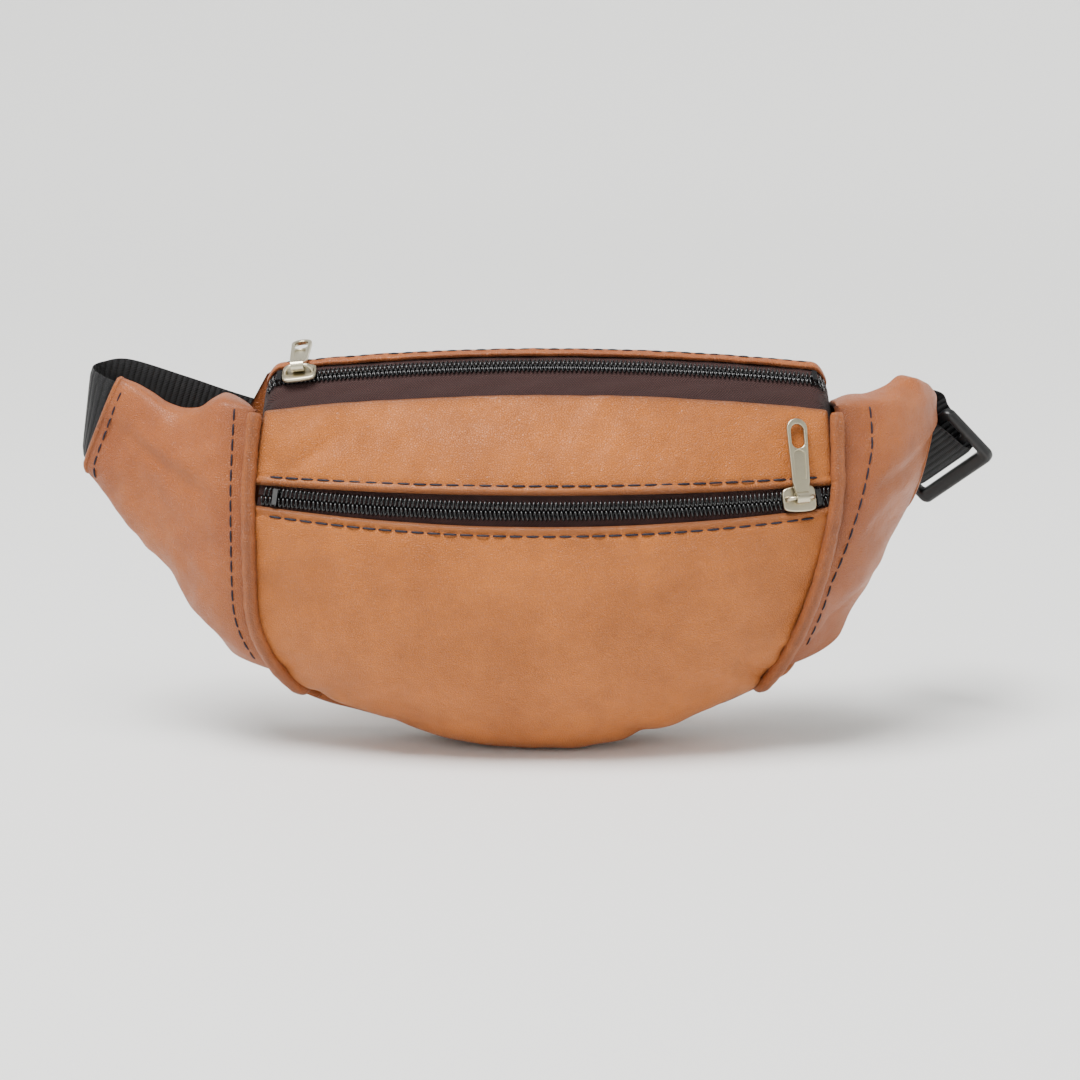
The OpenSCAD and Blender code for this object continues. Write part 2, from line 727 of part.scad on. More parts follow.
module buckle_socket() {
  color("#1b1b1d")
    on_belt()
      difference() {
        in_plane(buckle_thickness)
          soft_box(-sl, sl, hw + 2, 4);
        translate([-sl + 10.5, -3.2, -12.5])
          cube([2 * sl, 6.4, 25]);
        translate([-6.2, -3.2, -hw - 4])
          cube([14.4, 6.4, 2 * hw + 8]);
        translate([-sl + 4, -bt - 1, -hw - 0.5])
          cube([4.8, 2 * bt + 2, 2 * hw + 1]);
        for (s = [-1, 1])
          translate([-sl - 1, s < 0 ? -bt - 1 : 2, -hw - 0.5])
            cube([6, bt - 1, 2 * hw + 1]);
      }
}
module buckle_plug() {
  color("#1b1b1d")
    on_belt() {
      difference() {
        in_plane(8.4)
          soft_box(sl + 0.4, pe + 2, hw + 2, 4);
        translate([pe - 6.6, -6, -hw - 0.5])
          cube([4.6, 12, 2 * hw + 1]);
        for (s = [-1, 1])
          translate([pe - 3, s < 0 ? -6 : 2, -hw - 0.5])
            cube([6, 4, 2 * hw + 1]);
      }
      translate([4, -2.6, -3.8])
        cube([sl - 2.6, 5.2, 7.6]);
    }
}
module latch() {
  in_plane(4.8) {
    polygon([[-5, 9.6], [sl - 1.6, 9.6], [sl - 1.6, 12.2], [7, 12.2], [6.4, 17.6], [-3.6, 17.6], [-5, 15]]);
    translate([sl - 1.6, 10.9])
      circle(1.3);
  }
}
module upper_latch() {
  color("#1b1b1d")
    on_belt()
      latch();
}
module lower_latch() {
  color("#1b1b1d")
    on_belt()
      mirror([0, 0, 1])
        latch();
}
module adjuster() {
  color("#1b1b1d")
    placed()
      multmatrix([[a_l[0], a_n[0], a_w[0], a_mid[0]], [a_l[1], a_n[1], a_w[1], a_mid[1]],
        [a_l[2], a_n[2], a_w[2], a_mid[2]], [0, 0, 0, 1]])
        difference() {
          in_plane(3.6)
            soft_box(-12, 12, hw + 4, 3);
          for (x = [-8.6, 1.7])
            translate([x, -3, -hw - 0.9])
              cube([6.9, 6, 2 * hw + 1.8]);
        }
}

front_upper_panel();
front_lower_panel();
left_wing();
right_wing();
left_piping();
right_piping();
back_panel();
back_top_band();
bottom_rim();
back_padding();
back_lining();
pocket_lining();
main_tape_front();
main_tape_back();
main_chain_front();
main_chain_back();
main_end_stops();
main_slider();
main_slider_bail();
main_pull();
front_tape_upper();
front_tape_lower();
front_chain_upper();
front_chain_lower();
front_end_stops();
front_slider();
front_slider_bail();
front_pull();
zip_seam_upper_stitches();
zip_seam_lower_stitches();
left_piping_stitches();
right_piping_stitches();
top_band_stitches();
left_strap();
right_strap();
left_strap_tack();
adjuster();
buckle_socket();
buckle_plug();
upper_latch();
lower_latch();
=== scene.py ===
"""Looks of a tan leather waist pack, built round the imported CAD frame.

Sizes are millimetres in the pack's own axes (X to the viewer's right, Y to the
wearer, Z up, the rear plane of the back panel at Y = 0); ``Space`` turns them
into the row frame in metres.
"""

from __future__ import annotations

import logging
import math
from dataclasses import dataclass, field
from enum import Enum
from typing import Any, Callable, Optional, Sequence, Union

import bmesh
import bpy
import numpy as np
from mathutils import Euler, Matrix, Vector

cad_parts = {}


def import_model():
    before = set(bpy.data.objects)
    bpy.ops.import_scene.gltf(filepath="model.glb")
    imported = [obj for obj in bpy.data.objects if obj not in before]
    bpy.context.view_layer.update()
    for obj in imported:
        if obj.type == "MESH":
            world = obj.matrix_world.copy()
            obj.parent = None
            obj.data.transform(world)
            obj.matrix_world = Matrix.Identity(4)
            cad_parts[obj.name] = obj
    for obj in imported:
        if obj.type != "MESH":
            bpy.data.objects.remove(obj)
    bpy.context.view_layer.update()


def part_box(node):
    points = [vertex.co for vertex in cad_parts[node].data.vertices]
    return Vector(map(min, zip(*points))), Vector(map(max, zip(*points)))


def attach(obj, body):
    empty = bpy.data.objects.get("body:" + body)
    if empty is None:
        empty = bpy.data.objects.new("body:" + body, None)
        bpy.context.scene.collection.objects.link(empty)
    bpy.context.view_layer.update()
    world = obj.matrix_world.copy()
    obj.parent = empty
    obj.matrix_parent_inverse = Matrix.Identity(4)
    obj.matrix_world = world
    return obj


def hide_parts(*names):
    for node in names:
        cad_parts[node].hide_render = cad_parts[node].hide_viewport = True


log = logging.getLogger("waist_pack")

Array = np.ndarray
Number = Union[float, np.ndarray]
Surface = Callable[[Array, Array, float], Array]
Line = Callable[[Array], Array]


# ---------------------------------------------------------------- numbers


@dataclass(frozen=True)
class Sizes:
    """Sizes that several sub-assemblies share, in millimetres and degrees."""

    centre_x: float = 2.8
    leather: float = 1.4
    piping_r: float = 2.4
    gap: float = 0.3
    zip_half: float = 90.0
    main_lean: float = 25.0
    main_radius: float = 720.0
    front_lean: float = 10.0
    front_turn: float = 30.0
    front_radius: float = 343.0
    slider_length: float = 11.0
    pull_length: float = 26.5
    pull_width: float = 7.0
    pin_height: float = 5.9
    belt_half: float = 15.0
    belt_thickness: float = 1.5
    belt_tilt: float = 8.0
    left_wing: float = 56.0
    right_wing: float = 41.0
    lip_lift: float = 0.7
    pocket_lip_z: float = 82.0
    upper_lip_z: float = 92.0
    zip_hold: float = 89.0
    dive: float = 0.16


S = Sizes()
MAIN_MID = np.array([S.centre_x, -15.5, 129.5])
FRONT_MID = np.array([S.centre_x, -44.0, 87.0])
AXIS_X = np.array([1.0, 0.0, 0.0])


def tilted(degrees: float) -> tuple[Array, Array]:
    """Outward and across directions of a plane leaning by ``degrees``."""
    a = math.radians(degrees)
    return np.array([0, -math.sin(a), math.cos(a)]), np.array([0, math.cos(a), math.sin(a)])


MAIN_OUT, MAIN_BACK = tilted(S.main_lean)
FRONT_UP, FRONT_BACK = tilted(S.front_lean)
FRONT_OUT = -FRONT_BACK


class Finish(Enum):
    """Which leather a panel is cut from."""

    FRONT = "front"
    WING = "wing"
    CORD = "cord"


# ---------------------------------------------------------------- arithmetic


def mix(a: Number, b: Number, t: Number) -> Number:
    """Straight blend from a to b by t."""
    return a + (b - a) * t


def unit(v: Array) -> Array:
    """Vectors of v scaled to length 1 along the last axis."""
    return v / np.maximum(np.linalg.norm(v, axis=-1, keepdims=True), 1e-12)


def stack(x: Number, y: Number, z: Number) -> Array:
    """Points from three broadcastable coordinate arrays."""
    return np.stack(np.broadcast_arrays(x, y, z), axis=-1).astype(float)


def spline(u: Number, table: Sequence[tuple[float, float]]) -> Array:
    """Cubic Hermite curve whose slope at each point is that between its two neighbours.

    Args:
        u: where the curve is read.
        table: the (u, value) pairs it goes through, in rising u.

    Returns:
        The curve's values at u.
    """
    t = np.array(table, float)
    u = np.asarray(u, float)
    i = np.clip(np.searchsorted(t[:, 0], u, side="right") - 1, 0, len(t) - 2)
    a, b, c, d = t[np.maximum(i - 1, 0)], t[i], t[i + 1], t[np.minimum(i + 2, len(t) - 1)]
    h = c[..., 0] - b[..., 0]
    s = (u - b[..., 0]) / h
    m0 = (c[..., 1] - a[..., 1]) / (c[..., 0] - a[..., 0])
    m1 = (d[..., 1] - b[..., 1]) / (d[..., 0] - b[..., 0])
    return ((2 * s**3 - 3 * s**2 + 1) * b[..., 1] + (s**3 - 2 * s**2 + s) * h * m0
            + (3 * s**2 - 2 * s**3) * c[..., 1] + (s**3 - s**2) * h * m1)


def catmull(a: Array, b: Array, c: Array, d: Array, t: Array) -> Array:
    """Cubic from b at t = 0 to c at t = 1, with the slopes (c - a) / 2 and (d - b) / 2."""
    return 0.5 * (2 * b + (c - a) * t + (2 * a - 5 * b + 4 * c - d) * t**2
                  + (3 * b - a - 3 * c + d) * t**3)


def path(points: Array, count: int) -> Array:
    """Even steps along the Catmull-Rom curve through ``points``.

    Args:
        points: the points that the curve goes through.
        count: number of steps.

    Returns:
        ``count`` + 1 points, the first and the last of ``points`` among them.
    """
    p = np.asarray(points, float)
    q = np.linspace(0, len(p) - 1, count + 1)
    i = np.minimum(q.astype(int), len(p) - 2)
    t = (q - i)[:, None]
    return catmull(p[np.maximum(i - 1, 0)], p[i], p[i + 1], p[np.minimum(i + 2, len(p) - 1)], t)


def eased(n: int) -> Array:
    """n + 1 values from 0 to 1, close together at both ends."""
    return 0.5 - 0.5 * np.cos(np.pi * np.linspace(0, 1, n + 1))


def normals(g: Array) -> Array:
    """Unit normals of a grid of points: rows across columns."""
    return unit(np.cross(np.gradient(g, axis=0), np.gradient(g, axis=1)))


@dataclass(frozen=True)
class Fold:
    """A soft ridge in leather seen from the front, or a dent where its height is negative."""

    height: float
    x: float
    z: float
    long: float
    wide: float
    turn: float

    def relief(self, x: Array, z: Array) -> Array:
        """Gaussian spot: height * exp(-(p / long)^2 - (q / wide)^2) on axes turned by ``turn`` degrees.

        Args:
            x: X of the skin's points, in millimetres.
            z: their heights.

        Returns:
            How far the fold raises each point.
        """
        a = math.radians(self.turn)
        p = (x - self.x) * math.cos(a) + (z - self.z) * math.sin(a)
        q = (z - self.z) * math.cos(a) - (x - self.x) * math.sin(a)
        return self.height * np.exp(-((p / self.long) ** 2 + (q / self.wide) ** 2))


POCKET_FOLDS = (
    Fold(1.3, 62, 31, 15, 6, -24), Fold(-2.3, 74, 27, 11, 3.2, -34), Fold(1.2, 80, 38, 9, 5, -40),
    Fold(-1.6, 85, 33, 9, 2.2, -48), Fold(-1.3, 33, 6, 7, 3, -30), Fold(0.8, 43, 11, 10, 4, -24),
    Fold(-1.1, -70, 20, 14, 2.6, 28), Fold(-0.8, -84, 30, 8, 2.4, 48), Fold(0.7, -60, 22, 12, 5, 22),
    Fold(-0.5, -46, 9, 12, 2.4, 18),
)
UPPER_FOLDS = (
    Fold(0.8, -78, 108, 9, 2.6, 38), Fold(-0.9, -74, 104, 9, 2, 36), Fold(0.6, -70, 100, 9, 2.4, 30),
    Fold(-0.8, 82, 104, 8, 2.2, -42), Fold(0.6, 77, 107, 9, 3, -38),
)


def wing_folds(flow: float) -> tuple[Fold, ...]:
    """Folds of one wing, fanning out from the strap; ``flow`` is the first one's angle in degrees."""
    return (Fold(0.9, 128, 103, 20, 3.6, flow), Fold(-1.0, 124, 96, 20, 2.6, flow),
            Fold(0.8, 120, 86, 18, 3.6, flow + 12), Fold(-0.9, 112, 78, 15, 2.6, flow + 16),
            Fold(0.6, 110, 62, 12, 3.4, 55), Fold(-0.8, 106, 108, 7, 2.4, -20))


def rolling(x: Array, z: Array, seed: int, scale: float) -> Array:
    """Soft unevenness between about -1 and 1: the sum of nine sine waves in seeded directions.

    Args:
        x: first coordinate of the points, in millimetres.
        z: second coordinate.
        seed: picks the waves.
        scale: their middle wavelength, in millimetres.

    Returns:
        The height of the waves at each point.
    """
    rng = np.random.default_rng(seed)
    out = 0.0
    for _ in range(9):
        a, f, ph = rng.uniform(0, np.pi), rng.uniform(0.6, 1.7) / scale, rng.uniform(0, 2 * np.pi)
        out = out + np.sin(2 * np.pi * f * (x * np.cos(a) + z * np.sin(a)) + ph)
    return out / 3.6


# ---------------------------------------------------------------- shape of the bag


def seam_left(z: Number) -> Number:
    """X of the left side seam at height z."""
    return -96 + np.where(z < 54, 13 * ((54 - np.minimum(z, 54)) / 34) ** 2, 0)


def seam_right(z: Number) -> Number:
    """X of the right side seam at height z."""
    q = np.maximum(0, 105 - z)
    return 101 - 0.14 * q - 0.00002 * q**3


def bottom_z(x: Number) -> Number:
    """Height of the bottom seam at x."""
    return 3 + np.where(x < 0, 25 * (np.abs(x) / 101) ** 2.5, 26.6 * (np.abs(x) / 92.8) ** 2.5)


def rim_z(x: Number) -> Number:
    """Height of the rolled rim at x, drawn up under the wings at both ends."""
    return bottom_z(x) - 0.3 - 2.2 * (x / 95) ** 2 + 0.05 * np.maximum(np.abs(x) - 84, 0) ** 2


def lip(x: Number) -> Number:
    """Half width of the front zip's opening at x."""
    return 5.2 - 1.6 * ((x - S.centre_x) / 95) ** 2


def main_at(x: Array, r: Number, b: Number) -> Array:
    """Points on the main zip, which is an arc of radius ``main_radius`` in a leaning plane.

    Args:
        x: X of the points.
        r: height above the arc.
        b: distance behind the zip's middle, across its plane.

    Returns:
        The points, in pack millimetres.
    """
    th = np.arcsin((x - S.centre_x) / S.main_radius)
    rad = S.main_radius + r
    return (MAIN_MID + (rad * np.cos(th) - S.main_radius)[..., None] * MAIN_OUT
            + (rad * np.sin(th))[..., None] * AXIS_X + np.asarray(b, float)[..., None] * MAIN_BACK)


def front_at(x: Array, v: Number, h: Number) -> Array:
    """Points on the front zip, a cone round the arc of radius ``front_radius``.

    Args:
        x: X of the points.
        v: distance above the zip's middle, along its surface.
        h: height out of that surface.

    Returns:
        The points, in pack millimetres.
    """
    th = np.arcsin((x - S.centre_x) / S.front_radius)
    a = math.radians(S.front_turn)
    r, k = h * math.cos(a) - v * math.sin(a), h * math.sin(a) + v * math.cos(a)
    rad = S.front_radius + r
    return (FRONT_MID + (rad * np.cos(th) - S.front_radius)[..., None] * FRONT_OUT
            + (rad * np.sin(th))[..., None] * AXIS_X + np.asarray(k, float)[..., None] * FRONT_UP)


def cubic(p: Sequence[Number], t: Array) -> Array:
    """Cubic Bezier through the four values of ``p``."""
    return (1 - t) ** 3 * p[0] + 3 * t * (1 - t) ** 2 * p[1] + 3 * t**2 * (1 - t) * p[2] + t**3 * p[3]


def lower_point(u: Array, t: Array, inset: float = 0.0) -> Array:
    """Front pocket panel: at each u a cubic curve from the bottom seam, out over the belly, to the lip.

    Args:
        u: 0 at the left seam, 1 at the right.
        t: 0 at the bottom seam, 1 at the lip.
        inset: how far both seams are drawn in.

    Returns:
        The points, in pack millimetres.
    """
    w = np.abs(2 * u - 1) ** 2.4
    x3 = mix(seam_left(S.pocket_lip_z) + inset, seam_right(S.pocket_lip_z) - inset, u)
    x0 = mix(-82, 76, u)
    p3 = front_at(x3, -lip(x3), S.lip_lift + S.leather)
    d = cubic([7, mix(40, 26, w), -p3[..., 1] + mix(9.7, 7.5, w), -p3[..., 1]], t)
    z = cubic([bottom_z(x0), mix(-20, 12, w), p3[..., 2] - mix(29, 27, w), p3[..., 2]], t)
    return stack(mix(seam_left(z) + inset, seam_right(z) - inset, u), -d, z)


def upper_point(u: Array, t: Array, inset: float = 0.0) -> Array:
    """Upper front panel: at each u a cubic curve from the front zip's upper lip to the main zip.

    Args:
        u: 0 at the left seam, 1 at the right.
        t: 0 at the lip, 1 at the main zip.
        inset: how far both seams are drawn in at the lip.

    Returns:
        The points, in pack millimetres.
    """
    xa = mix(seam_left(S.upper_lip_z) + inset, seam_right(S.upper_lip_z) - inset, u)
    xb = mix(-91, 96, u)
    pa = front_at(xa, lip(xa), S.lip_lift + S.leather)
    pb = main_at(xb, np.full_like(xb, -1.2), np.full_like(xb, -13.0))
    d = cubic([-pa[..., 1], -pa[..., 1] - 3.4, -pb[..., 1] + 3.2, -pb[..., 1]], t)
    z = cubic([pa[..., 2], pa[..., 2] + 9.4, pb[..., 2] - 5.3, pb[..., 2]], t)
    return stack(mix(xa, xb, t), -d, z)


def seam_line(side: int, count: int) -> Array:
    """Middle of one piping cord, along the side edge of both front panels.

    Args:
        side: -1 for the left seam, 1 for the right.
        count: number of steps.

    Returns:
        ``count`` + 1 points, from the bottom seam to the main zip.
    """
    u = 0.0 if side < 0 else 1.0
    low = lower_point(np.full(24, u), np.linspace(-0.02, 0.957, 24))
    t = np.linspace(0, 0.93, 9)
    top = upper_point(np.full(9, u), t)
    top[:, 0] += side * (S.piping_r + S.gap) * t
    return path(np.concatenate([low, top]) + [0, -0.5, 0], count)


WING_TOP = {
    -1: [(0, 117.7), (0.14, 120.2), (0.22, 118.6), (0.35, 115.2), (0.54, 115.8), (0.73, 119.2),
         (0.95, 123.4), (1, 123.8)],
    1: [(0, 118.6), (0.12, 119.6), (0.3, 120), (0.46, 121.8), (0.6, 124), (0.8, 121), (1, 115.5)],
}
WING_LOW = {
    -1: [(0, 26.5), (0.11, 31.5), (0.2, 38.9), (0.37, 49.2), (0.47, 59), (0.63, 67), (0.85, 80.8),
         (1, 91)],
    1: [(0, 29), (0.22, 45.5), (0.43, 54), (0.56, 60.8), (0.69, 67.3), (1, 77)],
}
WING_DEEP = {
    -1: [(0, 31), (0.15, 27), (0.4, 19.5), (0.7, 13), (1, 8.6)],
    1: [(0, 30.5), (0.2, 25.5), (0.5, 18), (0.8, 12), (1, 8.6)],
}
SEAM_DEEP = [(14, 6), (22, 16), (30, 25), (45, 33), (62, 36), (84, 33.4), (101, 28.4), (119, 22)]


WING_BEND = {-1: (S.left_wing, 12.0), 1: (S.right_wing, 65.0)}


def wing_point(side: int, s: Array, a: Array, t: float = 0.0) -> Array:
    """Wing skin: squared-off oval sections, bent backwards along an arc that starts at the side seam.

    Args:
        side: -1 for the left wing, 1 for the right.
        s: 0 at the side seam, 1 at the strap's mouth.
        a: angle round the section in degrees, 0 at the front and 90 on top.
        t: depth below the outer face.

    Returns:
        The points, in pack millimetres.
    """
    length, end = WING_BEND[side]
    top, low, f = spline(s, WING_TOP[side]), spline(s, WING_LOW[side]), spline(s, WING_DEEP[side])
    c, e = np.cos(np.radians(a)), np.sin(np.radians(a))
    cc = np.sign(c) * np.abs(c) ** np.where(c < 0, 0.35, 0.8)
    ee = np.sign(e) * np.abs(e) ** 0.75
    z = (top + low) / 2 + ((top - low) / 2 - t) * ee
    front = np.clip(3 * c, 0, 1) * (c > 0.05)
    d = mix(0.4 + f / 2 + (f / 2 - t) * cc, spline(z, SEAM_DEEP) - 1.2 - t, front * (1 - s) ** 4)
    seam = np.where(side < 0, -seam_left(z), seam_right(z)) - 98 + S.piping_r + S.gap
    far = (length * mix(1, 0.78, np.clip((z - 94) / 29, 0, 1)) if side < 0
           else length * mix(0.66, 1, np.clip((z - 77) / 38, 0, 1)))
    u = mix(mix(0.7, seam, front), far, s)
    r = length / math.radians(end)
    th = np.maximum(0, u) / r
    x = side * (98 + np.minimum(0, u) + (r + d) * np.sin(th))
    return stack(x, r * (1 - np.cos(th)) - d * np.cos(th), z)


def tucked_wing(side: int, s: Array, a: Array, t: float = 0.0) -> Array:
    """Wing skin with its front edge drawn in under the corded seam.

    Args:
        side: -1 for the left wing, 1 for the right.
        s: 0 at the side seam, 1 at the strap's mouth.
        a: angle round the section in degrees.
        t: depth below the outer face.

    Returns:
        The points, in pack millimetres.
    """
    g = wing_point(side, s, a, t)
    cord = seam_line(side, 200)
    cord = cord[np.argsort(cord[:, 2])]
    facing = np.clip((np.cos(np.radians(a)) + 0.3) / 0.3, 0, 1)
    tuck = np.clip(1 - (s + 0.015) / 0.13, 0, 1) ** 2 * facing
    for axis, off in ((0, -side * 0.2), (1, 0.4 + t)):
        g[..., axis] = mix(g[..., axis], np.interp(g[..., 2], cord[:, 2], cord[:, axis]) + off, tuck)
    return g


# ---------------------------------------------------------------- meshes


@dataclass
class Space:
    """Turns pack millimetres into row-frame metres."""

    shift: Array

    @classmethod
    def from_frame(cls) -> "Space":
        """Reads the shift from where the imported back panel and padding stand."""
        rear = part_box("back_panel")[1][1] * 1000
        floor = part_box("back_padding")[0][2] * 1000 - 34
        return cls(np.array([0.0, rear, floor]))

    def metres(self, p: Array) -> Array:
        """Row-frame points in metres of pack points in millimetres."""
        return (np.asarray(p, float) + self.shift) / 1000


SPACE = Space(np.zeros(3))


def quad_ids(m: int, n: int, wrap_rows: bool, wrap_cols: bool) -> Array:
    """Corner numbers of the quads of a grid, turning from rows to columns.

    Args:
        m: number of rows.
        n: number of columns.
        wrap_rows: whether the last row joins the first.
        wrap_cols: whether the last column joins the first.

    Returns:
        One row of four vertex numbers for each quad.
    """
    i, j = np.meshgrid(np.arange(m if wrap_rows else m - 1), np.arange(n if wrap_cols else n - 1),
                       indexing="ij")
    i, j = i.ravel(), j.ravel()
    k, q = (i + 1) % m, (j + 1) % n
    return np.stack([i * n + j, k * n + j, k * n + q, i * n + q], axis=1)


def make_mesh(name: str, verts: Array, quads: Array, uv: Optional[Array] = None,
              caps: Sequence[Sequence[int]] = (), edge: Optional[Array] = None) -> bpy.types.Object:
    """A smooth mesh object from arrays.

    Args:
        name: the piece's name.
        verts: N by 3 points in millimetres.
        quads: M by 4 vertex numbers.
        uv: N by 2 coordinates, in millimetres, or None.
        caps: extra flat faces, as vertex numbers.
        edge: N values from 0 inside to 1 where painted seam shade and wear darken it, kept as the attribute
            "edge".

    Returns:
        The object, linked into the scene, at the origin.
    """
    mesh = bpy.data.meshes.new(name)
    faces = [tuple(q) for q in quads.tolist()] + [tuple(c) for c in caps]
    mesh.from_pydata(SPACE.metres(verts).tolist(), [], faces)
    mesh.shade_smooth()
    loops = np.empty(len(mesh.loops), np.int32)
    mesh.loops.foreach_get("vertex_index", loops)
    if uv is not None:
        layer = mesh.uv_layers.new(name="uv")
        layer.data.foreach_set("uv", np.asarray(uv, np.float32)[loops].ravel())
    if edge is not None:
        mesh.attributes.new("edge", "FLOAT", "POINT").data.foreach_set(
            "value", np.asarray(edge, np.float32).ravel())
    mesh.update()
    obj = bpy.data.objects.new(name, mesh)
    bpy.context.scene.collection.objects.link(obj)
    return obj


def shell(name: str, outer: Array, inner: Array, uv: Optional[Array] = None, wrap: bool = False,
          edge: Optional[Array] = None) -> bpy.types.Object:
    """A closed skin between two grids of the same size, with walls along their open edges.

    Args:
        name: the piece's name.
        outer: the face that looks outwards, rows by columns by 3.
        inner: the face behind it.
        uv: coordinates of the grid, shared by both faces, or None.
        wrap: whether the last column joins the first.
        edge: painted seam shade and wear of the grid's points, or None.

    Returns:
        The object.
    """
    m, n = outer.shape[:2]
    k = m * n
    q = quad_ids(m, n, False, wrap)
    parts = [q, q[:, ::-1] + k]
    j = np.arange(n if wrap else n - 1)
    p = (j + 1) % n
    parts.append(np.stack([j, p, k + p, k + j], axis=1))
    e = (m - 1) * n
    parts.append(np.stack([e + p, e + j, k + e + j, k + e + p], axis=1))
    if not wrap:
        i = np.arange(m - 1)
        a, b = i * n, (i + 1) * n
        parts.append(np.stack([b, a, k + a, k + b], axis=1))
        a, b = a + n - 1, b + n - 1
        parts.append(np.stack([a, b, k + b, k + a], axis=1))
    both = None if uv is None else np.concatenate([uv.reshape(-1, 2)] * 2)
    seam_shade_and_wear = None if edge is None else np.concatenate([edge.ravel()] * 2)
    return make_mesh(name, np.concatenate([outer.reshape(-1, 3), inner.reshape(-1, 3)]),
                     np.concatenate(parts), both, edge=seam_shade_and_wear)


def tube(name: str, rings: Array, uv: Optional[Array] = None,
         edge: Optional[Array] = None) -> bpy.types.Object:
    """A solid through rings of points that turn counter-clockwise about its own direction.

    Args:
        name: the piece's name.
        rings: rings by points by 3, in millimetres.
        uv: coordinates of the rings' points, or None.
        edge: painted seam shade and wear of the rings' points, or None.

    Returns:
        The object, capped at both ends.
    """
    m, n = rings.shape[:2]
    caps = [list(range(n))[::-1], list(range((m - 1) * n, m * n))]
    flip = quad_ids(m, n, False, True)[:, ::-1]
    return make_mesh(name, rings.reshape(-1, 3), flip, None if uv is None else uv.reshape(-1, 2),
                     caps, edge)


def frames(centre: Array, hint: Array) -> tuple[Array, Array, Array]:
    """Three directions at right angles at each point of a path.

    Args:
        centre: the path's points.
        hint: a direction for each point.

    Returns:
        The path's direction, the one across it that is nearest ``hint``, and their cross product.
    """
    t = unit(np.gradient(centre, axis=0))
    a = unit(hint - np.sum(hint * t, axis=-1, keepdims=True) * t)
    return t, a, np.cross(t, a)


def round_rings(centre: Array, radius: Number, hint: Sequence[float], n: int = 14,
                other: Optional[Array] = None) -> Array:
    """Circles round a path: centre + radius * (cos * a + sin * b), with a and b across the path.

    Args:
        centre: the path's points.
        radius: one radius, or one for each point.
        hint: direction in which each circle starts, as near as it can be.
        n: points on a circle.
        other: radius at right angles to the hint, where the section is an oval.

    Returns:
        Path points by circle points by 3.
    """
    _, a, b = frames(centre, np.broadcast_to(np.asarray(hint, float), centre.shape))
    ang = np.linspace(0, 2 * np.pi, n, endpoint=False)[None, :, None]
    r = np.broadcast_to(radius, (len(centre),))[:, None, None]
    q = r if other is None else other[:, None, None]
    return centre[:, None] + r * np.cos(ang) * a[:, None] + q * np.sin(ang) * b[:, None]


def placed(origin: Array, x: Array, y: Array, z: Array) -> Matrix:
    """Matrix of a frame at ``origin`` with the three axes given."""
    return Matrix([*np.column_stack([x, y, z, origin]).tolist(), (0, 0, 0, 1)])


def moved(place: Matrix, points: Array) -> Array:
    """Points of a frame's own space, turned into the pack's; the array keeps its shape."""
    flat = points.reshape(-1, 3)
    return np.array([tuple(place @ Vector(p)) for p in flat]).reshape(points.shape)


def grid_uv(g: Array) -> Array:
    """Coordinates in metres of a grid's points: running length down its rows and along its columns."""
    return np.stack([lengths(g, 0), lengths(g, 1)], axis=-1) / 1000


def lengths(g: Array, axis: int) -> Array:
    """Running length along a grid: the sum of the steps from its edge.

    Args:
        g: the grid's points, in millimetres.
        axis: 0 to run down the rows, 1 to run along the columns.

    Returns:
        The length from the edge to each point.
    """
    step = np.linalg.norm(np.diff(g, axis=axis), axis=-1)
    pad = [(0, 0)] * step.ndim
    pad[axis] = (1, 0)
    return np.cumsum(np.pad(step, pad), axis=axis)


# ---------------------------------------------------------------- materials


def srgb(code: str) -> tuple[float, float, float, float]:
    """Turns an sRGB colour to linear.

    Args:
        code: six hex digits.

    Returns:
        Linear red, green and blue, and an alpha of 1.
    """
    def lin(v: float) -> float:
        """Linear value of one sRGB value."""
        return v / 12.92 if v <= 0.04045 else ((v + 0.055) / 1.055) ** 2.4
    r, g, b = (lin(int(code[i:i + 2], 16) / 255) for i in (0, 2, 4))
    return (r, g, b, 1.0)


